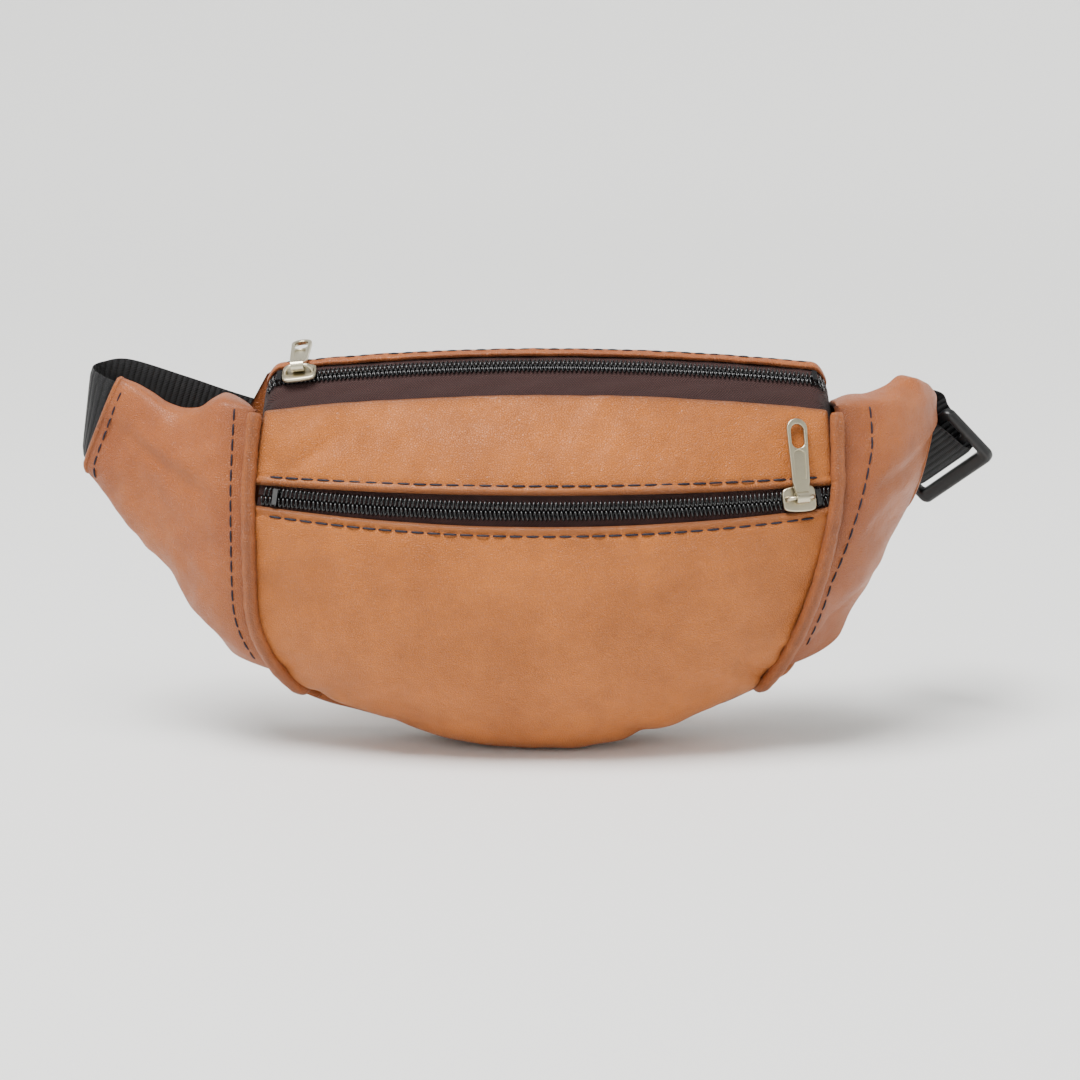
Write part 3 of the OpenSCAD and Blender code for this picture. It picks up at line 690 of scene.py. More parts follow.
class Nodes:
    """Builds one material's node tree."""

    def __init__(self, name: str) -> None:
        """Starts a material of that name with its own shader."""
        self.mat = bpy.data.materials.new(name)
        self.mat.use_nodes = True
        self.tree = self.mat.node_tree
        self.shader = self.tree.nodes["Principled BSDF"]

    def add(self, kind: str, inputs: Optional[dict] = None, **props: Any) -> bpy.types.Node:
        """Adds a node with its settings and links.

        Args:
            kind: the node's type.
            inputs: values by input name; one that is a socket is linked, any other is set.
            **props: the node's own settings.

        Returns:
            The node.
        """
        node = self.tree.nodes.new(kind)
        for key, value in props.items():
            setattr(node, key, value)
        for key, value in (inputs or {}).items():
            self.put(node.inputs[key], value)
        return node

    def put(self, socket: bpy.types.NodeSocket, value: Any) -> None:
        """Links ``value`` to the socket if it is one, or sets it."""
        if isinstance(value, bpy.types.NodeSocket):
            self.tree.links.new(value, socket)
        else:
            socket.default_value = value

    def place(self) -> bpy.types.NodeSocket:
        """The piece's own coordinates, in metres."""
        return self.add("ShaderNodeTexCoord").outputs["Object"]

    def math(self, op: str, *values: Any) -> bpy.types.NodeSocket:
        """Adds a math node.

        Args:
            op: what it does.
            *values: up to three numbers or sockets.

        Returns:
            Its result.
        """
        node = self.add("ShaderNodeMath", operation=op)
        for socket, value in zip(node.inputs, values):
            self.put(socket, value)
        return node.outputs[0]

    def blend(self, fac: Any, a: Any, b: Any) -> bpy.types.NodeSocket:
        """Adds a colour mix.

        Args:
            fac: 0 for the first colour, 1 for the second.
            a: the first colour.
            b: the second colour.

        Returns:
            The mixed colour.
        """
        node = self.add("ShaderNodeMix", data_type="RGBA", blend_type="MIX")
        self.put(node.inputs[0], fac)
        self.put(node.inputs[6], a)
        self.put(node.inputs[7], b)
        return node.outputs[2]

    def ramp(self, fac: Any, low: float, high: float) -> bpy.types.NodeSocket:
        """0 at ``low``, 1 at ``high``, eased between."""
        return self.add("ShaderNodeMapRange", {"Value": fac, "From Min": low, "From Max": high},
                        interpolation_type="SMOOTHSTEP").outputs[0]

    def noise(self, where: Any, size_mm: float, detail: float = 3.0,
              rough: float = 0.5) -> bpy.types.NodeSocket:
        """Noise whose features are about ``size_mm`` across."""
        return self.add("ShaderNodeTexNoise", {"Vector": where, "Scale": 1000 / size_mm, "Detail": detail,
                                               "Roughness": rough}).outputs["Fac"]

    def bump(self, height: Any, depth_mm: float, normal: Any = None) -> bpy.types.NodeSocket:
        """Adds a bump.

        Args:
            height: a height from 0 to 1.
            depth_mm: what a height of 1 stands for.
            normal: the normal that it bends, or None for the surface's own.

        Returns:
            The bent normal.
        """
        inputs = {"Height": height, "Distance": depth_mm / 1000, "Strength": 1.0}
        if normal is not None:
            inputs["Normal"] = normal
        return self.add("ShaderNodeBump", inputs).outputs[0]

    def surface(self, **values: Any) -> bpy.types.Material:
        """Sets shader inputs, with underscores for spaces, and returns the material."""
        for key, value in values.items():
            self.put(self.shader.inputs[key.replace("_", " ")], value)
        return self.mat


@dataclass(frozen=True)
class LeatherLook:
    """Colours of one leather."""

    light: str
    mid: str
    dark: str
    grain_mm: float = 0.75


LEATHERS = {
    Finish.FRONT: LeatherLook("bd6a1d", "a15713", "653309"),
    Finish.WING: LeatherLook("ad5f24", "91491a", "5f2d0c"),
    Finish.CORD: LeatherLook("a65a1e", "884618", "4d2509"),
}


def leather_material(kind: Finish) -> bpy.types.Material:
    """Pebbled, lightly waxed full-grain leather.

    The wax gives a soft sheen that breaks up on the pebbles, and where the attribute "edge" nears 1
    the colour is darkened: painted shade where a panel turns into its seam, and wear on a piping
    cord's crown. The pebbles are as wide as real grain gets, so that they show.

    Args:
        kind: which leather.

    Returns:
        The material.
    """
    look = LEATHERS[kind]
    n = Nodes(f"leather_{kind.value}")
    where = n.place()
    cloud = n.noise(where, 34, 4, 0.6)
    patch = n.noise(where, 7, 3, 0.6)
    fine = n.noise(where, 0.5, 3, 0.6)
    pebble = n.add("ShaderNodeTexVoronoi", {"Vector": where, "Scale": 1000 / look.grain_mm,
                                            "Randomness": 1.0}, feature="DISTANCE_TO_EDGE").outputs[0]
    crease = n.ramp(pebble, 0.0, 0.22)
    shade_and_wear_mask = n.add("ShaderNodeAttribute", attribute_name="edge").outputs["Fac"]
    colour = n.blend(n.ramp(cloud, 0.2, 0.8), srgb(look.mid), srgb(look.light))
    colour = n.blend(n.math("MULTIPLY", n.ramp(patch, 0.35, 0.75), 0.14), colour, srgb(look.dark))
    colour = n.blend(n.math("MULTIPLY", n.math("SUBTRACT", 1.0, crease), 0.22), colour, srgb(look.dark))
    # painted seam shade on the panels and wear on the piping cords darken the colour here
    colour = n.blend(n.math("MULTIPLY", shade_and_wear_mask, 0.75), colour, srgb(look.dark))
    rough = n.math("ADD", n.math("MULTIPLY", patch, 0.22), n.math("MULTIPLY", fine, 0.14))
    rough = n.math("ADD", rough, 0.3)
    coarse = n.bump(n.noise(where, 9, 3, 0.55), 0.55)
    grain = n.bump(crease, 0.15, n.bump(n.noise(where, 1.7, 3, 0.6), 0.16, coarse))
    pores = n.bump(fine, 0.08, grain)
    return n.surface(Base_Color=colour, Roughness=rough, Normal=pores, Specular_IOR_Level=0.42,
                     Coat_Weight=0.06, Coat_Roughness=0.35, Sheen_Weight=0.05)


def woven_material(name: str, dark: str, light: str, pitch: float, slant: float, rough: float,
                   depth: float = 0.16) -> bpy.types.Material:
    """Cloth with its own weave, from UVs in metres: u along the strip, v across it.

    Args:
        name: material name.
        dark: hex colour between the yarns.
        light: hex colour of the yarns.
        pitch: distance between yarns, in millimetres.
        slant: how far the twill leans: 0 for ribs straight across, 1 for a herringbone.
        rough: roughness.
        depth: height of the yarns, in millimetres.

    Returns:
        The material.
    """
    n = Nodes(name)
    uv = n.add("ShaderNodeSeparateXYZ", {0: n.add("ShaderNodeUVMap", uv_map="uv").outputs[0]})
    u, v = uv.outputs[0], uv.outputs[1]
    folded = n.math("ABSOLUTE", n.math("SUBTRACT", n.math("FRACT", n.math("DIVIDE", v, 0.005)), 0.5))
    lean = n.math("MULTIPLY", folded, 0.005 * slant)
    phase = n.math("DIVIDE", n.math("ADD", u, lean), pitch / 1000)
    yarn = n.math("ABSOLUTE", n.math("SINE", n.math("MULTIPLY", phase, math.pi)))
    cross = n.math("ABSOLUTE", n.math("SINE", n.math("MULTIPLY", n.math("DIVIDE", v, 0.0006), math.pi)))
    height = n.math("ADD", n.math("MULTIPLY", yarn, 0.75), n.math("MULTIPLY", cross, 0.25))
    where = n.place()
    fuzz = n.noise(where, 0.35, 3, 0.6)
    colour = n.blend(n.ramp(height, 0.15, 0.95), srgb(dark), srgb(light))
    colour = n.blend(n.math("MULTIPLY", n.noise(where, 11, 3), 0.25), colour, srgb(dark))
    normal = n.bump(fuzz, 0.05, n.bump(height, depth))
    return n.surface(Base_Color=colour, Roughness=rough, Normal=normal, Sheen_Weight=0.06,
                     Sheen_Roughness=0.5, Specular_IOR_Level=0.3)


def plastic_material(name: str, colour: str, rough: float, texture_mm: float, depth: float,
                     gloss: float = 0.5) -> bpy.types.Material:
    """Moulded plastic with a fine spark texture, dulled a little in patches by handling.

    Args:
        name: material name.
        colour: hex colour.
        rough: middle roughness.
        texture_mm: size of the spark texture's grains.
        depth: its height, in millimetres.
        gloss: specular level.

    Returns:
        The material.
    """
    n = Nodes(name)
    where = n.place()
    spark = n.noise(where, texture_mm, 2, 0.5)
    smear = n.noise(where, 12, 4, 0.6)
    r = n.math("ADD", rough - 0.08, n.math("MULTIPLY", smear, 0.16))
    tint = n.blend(n.math("MULTIPLY", smear, 0.35), srgb(colour), srgb("1c1c1f"))
    return n.surface(Base_Color=tint, Roughness=r, Normal=n.bump(spark, depth), Specular_IOR_Level=gloss)


def metal_material() -> bpy.types.Material:
    """Satin nickel plate: warm grey, finely brushed, duller in random patches."""
    n = Nodes("satin_nickel")
    where = n.place()
    stretched = n.add("ShaderNodeMapping", {"Vector": where, "Scale": (0.25, 1.0, 1.0)}).outputs[0]
    brush = n.noise(stretched, 0.25, 3, 0.6)
    smear = n.noise(where, 6, 4, 0.6)
    rough = n.math("ADD", 0.2, n.math("MULTIPLY", smear, 0.2))
    tint = n.blend(smear, srgb("cdc5ac"), srgb("b3aa92"))
    return n.surface(Base_Color=tint, Metallic=1.0, Roughness=rough, Normal=n.bump(brush, 0.012))


def thread_material() -> bpy.types.Material:
    """Waxed three-ply thread."""
    n = Nodes("waxed_thread")
    where = n.place()
    ply = n.noise(where, 0.35, 2, 0.5)
    return n.surface(Base_Color=n.blend(ply, srgb("0b0914"), srgb("1a1729")), Roughness=0.5,
                     Normal=n.bump(ply, 0.08), Specular_IOR_Level=0.3)


def floor_material() -> bpy.types.Material:
    """Pale studio paper."""
    n = Nodes("studio_paper")
    where = n.place()
    tooth = n.noise(where, 1.5, 3, 0.6)
    return n.surface(Base_Color=srgb("efefed"), Roughness=0.85, Normal=n.bump(tooth, 0.03))


class Palette:
    """Every material of the scene, made once."""

    def __init__(self) -> None:
        """Makes the materials; the tape's yarns are drawn twice as coarse as real ones, to show."""
        self.leather = {kind: leather_material(kind) for kind in Finish}
        self.tape = woven_material("herringbone_zip_tape", "120707", "391c18", 0.9, 1.0, 0.8)
        self.webbing = woven_material("ribbed_webbing", "030304", "151517", 2.0, 0.0, 0.66, 0.35)
        self.coil = plastic_material("zip_coil_nylon", "050506", 0.25, 0.6, 0.01, 0.6)
        self.buckle = plastic_material("black_acetal", "0a0a0b", 0.4, 0.35, 0.012)
        self.foam = plastic_material("foam_pad", "2c2c2f", 0.9, 0.8, 0.2, 0.2)
        self.metal = metal_material()
        self.thread = thread_material()
        self.floor = floor_material()

    @staticmethod
    def dress(obj: bpy.types.Object, mat: bpy.types.Material) -> None:
        """Gives the whole object one material."""
        obj.data.materials.clear()
        obj.data.materials.append(mat)


# ---------------------------------------------------------------- sub-assemblies


SIDES = {-1: "left", 1: "right"}


@dataclass
class Piece:
    """A finished piece and what it stands for."""

    obj: bpy.types.Object
    body: str
    nodes: tuple[str, ...] = ()


@dataclass
class Assembly:
    """Shared duties: dress, ride, replace and log each piece."""

    palette: Palette
    pieces: list[Piece] = field(default_factory=list)

    def keep(self, obj: bpy.types.Object, mat: bpy.types.Material, slot: str, *nodes: str,
             body: str = "bag") -> bpy.types.Object:
        """Finishes a piece: its material, its body and the CAD nodes it stands for.

        Args:
            obj: the piece.
            mat: its material.
            slot: the name of its material slot; not used.
            *nodes: the CAD nodes that it replaces.
            body: the body that it rides on.

        Returns:
            The same object.
        """
        Palette.dress(obj, mat)
        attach(obj, body)
        if nodes:
            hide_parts(*nodes)
        self.pieces.append(Piece(obj, body, nodes))
        return obj

    def as_made(self, node: str, mat: bpy.types.Material) -> bpy.types.Object:
        """Dresses a CAD node that keeps its own shape.

        Args:
            node: the node's name.
            mat: its material.

        Returns:
            The node's object.
        """
        obj = bpy.data.objects[node]
        Palette.dress(obj, mat)
        self.pieces.append(Piece(obj, "its own body", (node,)))
        return obj

    def report(self) -> None:
        """Logs each piece with its size."""
        for p in self.pieces:
            size = ", ".join(f"{v * 1000:.1f}" for v in p.obj.dimensions)
            log.info("%s: %d faces, %s mm, on %s, for %s", p.obj.name, len(p.obj.data.polygons), size,
                     p.body, ", ".join(p.nodes) or "nothing in the CAD")


def border(g: Array) -> tuple[Array, ...]:
    """Distance in millimetres of each grid point from the four edges: start, end, left, right."""
    across, along = lengths(g, 0), lengths(g, 1)
    return across, across[-1:] - across, along, along[:, -1:] - along


def rounded(d: Array, r: float) -> Array:
    """How far a rolled edge of radius r has dropped at distance d from the edge."""
    q = np.clip(1 - d / r, 0, 1)
    return r * (1 - np.sqrt(np.maximum(1 - q * q, 0)))


@dataclass
class Panels(Assembly):
    """The two front panels, the wings, the back and the band over the main zip."""

    seam_inset: float = 1.0
    stitch_from_lip: float = 3.0
    stitch_groove: float = 0.38
    hem_radius: float = 1.0
    gusset_leather: float = 1.2
    back_half: float = 97.8
    channel_x: float = 33.0
    band_half: float = 95.0

    def build(self) -> None:
        """Makes every leather panel."""
        self.front_lower()
        self.front_upper()
        for side in SIDES:
            self.wing(side)
            self.gusset(side)
        self.back()
        self.band()

    def skin(self, name: str, g: Array, relief: Array, kind: Finish, slot: str, *nodes: str,
             rolls: Sequence[float] = (1.2, 1.2, 1.2, 1.2)) -> bpy.types.Object:
        """A leather panel: the grid raised by its relief, less the drop of its rolled edges.

        Args:
            name: the piece's name.
            g: the panel's surface, rows by columns by 3.
            relief: how far each point is raised.
            kind: which leather it's cut from.
            slot: the name of its material slot.
            *nodes: the CAD nodes that it replaces.
            rolls: radius of each rolled edge: start, end, left, right.

        Returns:
            The panel.
        """
        nrm = normals(g)
        d = border(g)
        drop = sum(rounded(e, r) for e, r in zip(d, rolls))
        near = np.minimum.reduce([e / r for e, r in zip(d, rolls)])
        # painted shade: darkest where the rolled edge turns down into its seam or under a cord
        seam_shade_and_wear = np.exp(-np.maximum(near - 0.6, 0) * 1.1)
        outer = g + nrm * (relief - drop)[..., None]
        inner = g - nrm * (S.leather + 0.4 * np.minimum(drop, 1.0))[..., None]
        uv = np.stack([d[0], d[2]], axis=-1) / 1000
        return self.keep(shell(name, outer, inner, uv, edge=seam_shade_and_wear), self.palette.leather[kind], slot, *nodes)

    def lip_relief(self, d: Array) -> Array:
        """Groove that the stitches pull at distance d from a lip, and the swell between them and it."""
        groove = self.stitch_groove * np.exp(-((d - self.stitch_from_lip) / 0.9) ** 2)
        return 0.3 * np.exp(-((d - 1.4) / 1.0) ** 2) - groove

    @staticmethod
    def seam_relief(d: Array, dip: float, gather: Array) -> Array:
        """Dip towards a side seam at distance d from it, and gathers that fade away from it.

        Args:
            d: distance from the nearer seam.
            dip: depth at the seam.
            gather: height of the gathers where they are strongest.

        Returns:
            The relief.
        """
        return gather * np.exp(-((d - 4.5) / 3.2) ** 2) - dip * np.exp(-d / 2.0)

    def front_lower(self) -> None:
        """Front pocket panel: it bulges, sags, and puckers at its corners and along its stitches."""
        u, t = np.meshgrid(eased(170), eased(110), indexing="ij")
        g = lower_point(u, t, self.seam_inset)
        x, z = g[..., 0], g[..., 2]
        start, end, _, lip_d = border(g)
        relief = 0.34 * rolling(x, z, 3, 46) + 0.16 * rolling(x, z, 4, 19)
        relief += sum(f.relief(x, z) for f in POCKET_FOLDS)
        relief += 0.1225 * np.cos(x / 2.1 + 0.6 * np.sin(x / 17)) * np.exp(-((lip_d - 5.2) / 2.6) ** 2)
        relief += self.lip_relief(lip_d)
        gather = 0.28 * np.sin(z / 2.6 + 1.2 * np.sin(z / 9))
        relief += self.seam_relief(np.minimum(start, end), 0.8, gather)
        self.skin("pocket_panel", g, relief, Finish.FRONT, "front_leather", "front_lower_panel",
                  rolls=(1.3, 1.3, 2.0, 1.3))

    def front_upper(self) -> None:
        """Upper front panel, with slack folds at its left end."""
        u, t = np.meshgrid(eased(170), eased(46), indexing="ij")
        g = upper_point(u, t, self.seam_inset)
        x, z = g[..., 0], g[..., 2]
        start, end, lip_d, _ = border(g)
        relief = 0.3 * rolling(x, z, 8, 42) + 0.14 * rolling(x, z, 9, 16)
        relief += sum(f.relief(x, z) for f in UPPER_FOLDS)
        relief += self.lip_relief(lip_d)
        relief += self.seam_relief(np.minimum(start, end), 0.7, 0.25 * np.sin(z / 2.4))
        self.skin("upper_panel", g, relief, Finish.FRONT, "front_leather", "front_upper_panel",
                  rolls=(1.3, 1.3, 1.3, 1.1))

    def wing(self, side: int) -> None:
        """One wing: a flattened sleeve that pulls into folds towards the strap, its mouth bound.

        Args:
            side: -1 for the left wing, 1 for the right.
        """
        name = SIDES[side]
        m, n = 90, 128
        s, a = np.meshgrid(mix(-0.015, 1, eased(m)), np.arange(n) * 360 / n * side, indexing="ij")
        g, inner = tucked_wing(side, s, a), tucked_wing(side, s, a, S.leather)
        x, z = np.abs(g[..., 0]), g[..., 2]
        # the section closes on itself, so its normals are taken with the columns wrapped
        col = np.roll(g, -1, axis=1) - np.roll(g, 1, axis=1)
        nrm = unit(np.cross(np.gradient(g, axis=0), col))
        face = np.clip(np.cos(np.radians(a)) * 1.5, 0, 1)
        relief = 0.45 * rolling(x, z, 20 + side, 30) + 0.22 * rolling(x, z, 30 + side, 12)
        relief = relief + face * sum(f.relief(x, z) for f in wing_folds(31 if side < 0 else 24))
        taper = np.clip((1 - s) * 14, 0, 1) * np.clip((s - 0.08) / 0.12, 0, 1) ** 2
        inset = rounded(np.abs(1 - s) * 50, 1.1) + rounded(np.maximum(s + 0.015, 0) * 50, 1.3)
        # painted shade: darkest where the wing tucks under the cord and where its mouth meets the hem
        seam_shade_and_wear = np.exp(-np.minimum((1 - s) * 26, (s + 0.015) * 14))
        outer = g + nrm * (relief * taper - inset * 0.6)[..., None]
        uv = np.stack([s * 0.05, a / 360 * 0.2], axis=-1)
        obj = shell(f"{name}_wing_skin", outer, inner, uv, wrap=True, edge=seam_shade_and_wear)
        self.keep(obj, self.palette.leather[Finish.WING], "wing_leather", f"{name}_wing")
        tip = np.full(n, 0.995)
        mouth = mix(wing_point(side, tip, a[0]), wing_point(side, tip, a[0], S.leather), 0.4)
        loop = np.concatenate([mouth, mouth[:1]])
        hem = tube(f"{name}_wing_hem", round_rings(loop, self.hem_radius, AXIS_X, 8))
        self.keep(hem, self.palette.leather[Finish.CORD], "piping_leather")

    def gusset(self, side: int) -> None:
        """Turned-in leather that closes the bottom between the cord, the wing and the rim.

        Args:
            side: -1 for the left end, 1 for the right.
        """
        cord = seam_line(side, 400)
        cord = cord[np.argsort(cord[:, 2])]
        z = np.linspace(cord[0, 2] + 0.5, 36, 24)
        x, y = (np.interp(z, cord[:, 2], cord[:, axis]) for axis in (0, 1))
        upper = stack(x, y + 1.2, z)
        x = side * np.linspace(74, 89, 24)
        lower = stack(x, -4.2, rim_z(x))
        t = np.linspace(0, 1, 14)[None, :, None]
        g = mix(upper[:, None], lower[:, None], t)
        g[..., 2] -= np.sin(np.pi * t[..., 0])
        if normals(g)[12, 7] @ np.array([side * 0.5, 0, -1]) < 0:
            g = g[:, ::-1]
        obj = shell(f"{SIDES[side]}_bottom_gusset", g, g - self.gusset_leather * normals(g), grid_uv(g))
        self.keep(obj, self.palette.leather[Finish.WING], "wing_leather")

    def back(self) -> None:
        """Back panel, lightly puffed over its foam between the sewn edges and two pressed channels."""
        half = self.back_half
        u, t = np.meshgrid(eased(110), eased(80), indexing="ij")
        x = mix(half, -half, u)
        top = np.minimum(main_at(x, np.full_like(x, -3.7), np.full_like(x, 13.4))[..., 2] - 0.4,
                         115 + 1.8 * (half - np.abs(x)))
        low = rim_z(x) + 2.2
        z = mix(low, top, t)
        inside = np.minimum.reduce([half - np.abs(x), z - low, top - z])
        puff = 1.5 * (1 - np.exp(-np.maximum(inside, 0) / 7))
        for line in (-self.channel_x, self.channel_x):
            puff -= 1.3 * np.exp(-((np.abs(x - line) / 1.6) ** 2)) * np.clip(inside / 8, 0, 1)
        puff += 0.18 * rolling(x, z, 14, 22) * np.clip(inside / 8, 0, 1)
        obj = self.skin("back_panel_skin", stack(x, 0.0, z), puff, Finish.WING, "wing_leather", "back_panel")

    def band(self) -> None:
        """Leather band behind the main zip, folded over its edge: one profile carried along the arc."""
        prof = path([(0.9, 6.0), (2.0, 6.1), (2.25, 7.2), (1.7, 9.5), (-0.9, 12.6), (-3.6, 14.1)], 22)
        back = path([(0.7, 6.6), (0.7, 6.7), (0.68, 7.4), (0.4, 8.8), (-1.7, 11.6), (-3.6, 12.7)], 22)
        x = mix(-self.band_half, self.band_half, eased(150)) + S.centre_x
        xx, r = np.meshgrid(x, prof[:, 0], indexing="ij")
        b = np.broadcast_to(prof[:, 1], xx.shape)
        drop = zip_dive(xx)
        outer = main_at(xx, r + 0.12 * rolling(xx, b, 15, 14) - drop, b)
        inner = main_at(xx, back[None, :, 0] - drop, np.broadcast_to(back[:, 1], xx.shape))
        # painted shade along the band's edge beside the zip
        seam_shade_and_wear = np.exp(-lengths(outer, 1) / 1.0)
        obj = shell("top_band", outer, inner, grid_uv(outer), edge=seam_shade_and_wear)
        self.keep(obj, self.palette.leather[Finish.WING], "wing_leather", "back_top_band")


@dataclass
class Cords(Assembly):
    """The corded side seams, the bottom rim and every row of thread."""

    rim_from: float = -93.0
    rim_to: float = 89.5
    rim_radius: float = 2.5
    cord_sides: int = 20
    lip_pitch: float = 5.3
    wing_pitch: float = 5.0
    band_pitch: float = 4.8
    tack_pitch: float = 4.4
    lip_thread: float = 0.31
    fine_thread: float = 0.3

    def build(self) -> None:
        """Makes the piping, the rim and the stitches."""
        for side in SIDES:
            self.piping(side)
        self.rim()
        self.rows()

    def rim(self) -> None:
        """The rolled rim: a leather cord along the bottom seam, drawn thin at both ends."""
        x = mix(self.rim_from, self.rim_to, np.linspace(0, 1, 160))
        centre = stack(x, -3.5 + 0.25 * np.sin(x / 5.5), rim_z(x))
        ends = np.clip(np.minimum(x - self.rim_from + 0.5, self.rim_to + 0.5 - x) / 5, 0.12, 1) ** 0.5
        radius = (self.rim_radius + 0.12 * np.sin(x / 3.1)) * ends
        obj = tube("bottom_rim_roll", round_rings(centre, radius, (0.0, 1.0, 0.0)))
        self.keep(obj, self.palette.leather[Finish.CORD], "piping_leather", "bottom_rim")

    def piping(self, side: int) -> None:
        """One leather cord, whose cover bunches a little where it turns.

        Args:
            side: -1 for the left seam, 1 for the right.
        """
        c = seam_line(side, 240)
        run = lengths(c, 0)
        radius = S.piping_r + 0.07 * np.sin(run / 1.9 + 1.4 * np.sin(run / 11)) + 0.05 * np.sin(run / 0.9)
        radius = radius * np.clip(np.minimum(run + 1.5, run[-1] - run + 1.5) / 2.4, 0.55, 1) ** 0.5
        rings = round_rings(c, radius, AXIS_X, self.cord_sides)
        ang = np.linspace(0, 2 * np.pi, self.cord_sides, endpoint=False)
        # wear on the cord's front and back crowns, held in the same values as the panels' painted seam shade
        seam_shade_and_wear = np.broadcast_to(0.55 * np.clip(-np.cos(ang * 2), 0, 1) ** 2, rings.shape[:2])
        self.keep(tube(f"{SIDES[side]}_piping_cord", rings, edge=seam_shade_and_wear.reshape(-1)),
                  self.palette.leather[Finish.CORD], "piping_leather", f"{SIDES[side]}_piping")

    def thread(self, name: str, p: Array, q: Array, n: Array, radius: float, *nodes: str) -> None:
        """A row of stitches: each an arched, flattened tube that sinks into the leather at both ends.

        Args:
            name: the piece's name.
            p: where each stitch starts.
            q: where it ends.
            n: the leather's normal at each.
            radius: the thread's radius.
            *nodes: the CAD nodes that the row replaces.
        """
        k, m = 9, 8
        f = np.linspace(0, 1, k)[None, :, None]
        mid = p[:, None] * (1 - f) + q[:, None] * f
        arch = np.sin(np.pi * f) ** 0.45
        mid = mid + n[:, None] * (radius * (1.25 * arch - 0.55))
        side = np.cross(n, unit(q - p))[:, None, None] * 1.15
        ang = np.linspace(0, 2 * np.pi, m, endpoint=False)[None, None, :, None]
        fat = radius * (0.72 + 0.28 * np.sin(np.pi * f)[..., None] ** 0.5)
        ring = mid[:, :, None] + fat * (np.cos(ang) * side + np.sin(ang) * n[:, None, None])
        starts = np.arange(len(p)) * k * m
        quads = quad_ids(k, m, False, True)[None, :, ::-1] + starts[:, None, None]
        caps = []
        for o in starts.tolist():
            caps += [list(range(o, o + m))[::-1], list(range(o + (k - 1) * m, o + k * m))]
        obj = make_mesh(name, ring.reshape(-1, 3), quads.reshape(-1, 4), None, caps)
        self.keep(obj, self.palette.thread, "thread", *nodes)

    def along(self, name: str, lines: tuple[Line, Line], pitch: float, share: float, radius: float,
              *nodes: str) -> None:
        """Stitches in even steps along a line.

        Args:
            name: the piece's name.
            lines: the line and the leather's normal along it, both from s = 0 to 1.
            pitch: distance from stitch to stitch, in millimetres.
            share: how much of the pitch a stitch takes.
            radius: the thread's radius.
            *nodes: the CAD nodes that the row replaces.
        """
        line, lift = lines
        fine = np.linspace(0, 1, 1200)
        run = lengths(line(fine), 0)
        count = int(run[-1] / pitch)
        middle = np.arange(count) + 0.5
        start, end = (np.interp((middle + h) / count * run[-1], run, fine) for h in (-share / 2, share / 2))
        self.thread(name, line(start), line(end), unit(lift((start + end) / 2)), radius, *nodes)

    def rows(self) -> None:
        """Every visible row of stitching."""
        self.along("pocket_seam_thread", self.on_front(lower_point, 0.966), self.lip_pitch, 0.8,
                   self.lip_thread, "zip_seam_lower_stitches")
        self.along("upper_seam_thread", self.on_front(upper_point, 0.093), self.lip_pitch, 0.8,
                   self.lip_thread, "zip_seam_upper_stitches")
        for side, at in ((-1, 0.068), (1, 0.078)):
            self.along(f"{SIDES[side]}_piping_thread", self.on_wing(side, at, 72), self.wing_pitch, 0.8,
                       self.fine_thread, f"{SIDES[side]}_piping_stitches")
        self.along("band_thread", self.on_band(), self.band_pitch, 0.8, self.fine_thread, "top_band_stitches")
        self.along("left_tack_thread", self.on_wing(-1, 0.93, 52), self.tack_pitch, 0.78, self.fine_thread,
                   "left_strap_tack")

    @staticmethod
    def on_front(point: Surface, t0: float, sink: float = 0.12) -> tuple[Line, Line]:
        """A line across a front panel, along one of its own coordinates.

        Args:
            point: the panel's surface.
            t0: where the line stands between the panel's lower and upper edge.
            sink: how far it's sunk into the leather.

        Returns:
            The line and the leather's normal along it.
        """
        inset = S.piping_r + S.gap

        def spot(s: Array, du: float = 0.0, dt: float = 0.0) -> Array:
            """The panel's point at s, moved by du along it and by dt across."""
            u = mix(0.02, 0.98, s)
            return point(u + du, np.full_like(u, t0 + dt), inset)

        def lift(s: Array) -> Array:
            """The leather's normal at s."""
            return np.cross(spot(s, 0.004) - spot(s, -0.004), spot(s, 0, 0.006) - spot(s, 0, -0.006))

        def line(s: Array) -> Array:
            """The sunk line at s."""
            return spot(s) - unit(lift(s)) * sink
        return line, lift

    @staticmethod
    def on_wing(side: int, at: float, far: float) -> tuple[Line, Line]:
        """A line round a wing's front.

        Args:
            side: -1 for the left wing, 1 for the right.
            at: where the line stands between the side seam (0) and the mouth (1).
            far: how far it reaches above and below the middle, in degrees round the section.

        Returns:
            The line and the leather's normal along it.
        """
        def line(s: Array, da: float = 0.0, ds: float = 0.0) -> Array:
            """The wing's point at s, moved by da degrees round it and by ds along it."""
            return tucked_wing(side, np.full_like(s, at + ds), mix(-far, far, s) * side + da * side)

        def lift(s: Array) -> Array:
            """The leather's normal at s."""
            return np.cross(line(s, 0, 0.02) - line(s, 0, -0.02), line(s, 1) - line(s, -1))
        return line, lift

    @staticmethod
    def on_band() -> tuple[Line, Line]:
        """The line along the crest of the band, and the band's normal."""
        def line(s: Array) -> Array:
            """The crest's point at s."""
            x = mix(-88, 88, s) + S.centre_x
            return main_at(x, np.full_like(x, 2.0), np.full_like(x, 8.4))

        def lift(s: Array) -> Array:
            """The same normal all along."""
            return np.broadcast_to(MAIN_OUT, (len(s), 3))
        return line, lift


@dataclass(frozen=True)
class ZipHalf:
    """One half of a zip: its nodes, its side of the middle, its tape's width and the tape's slope."""

    tape: str
    chain: str
    sign: int
    width: float
    slope: float


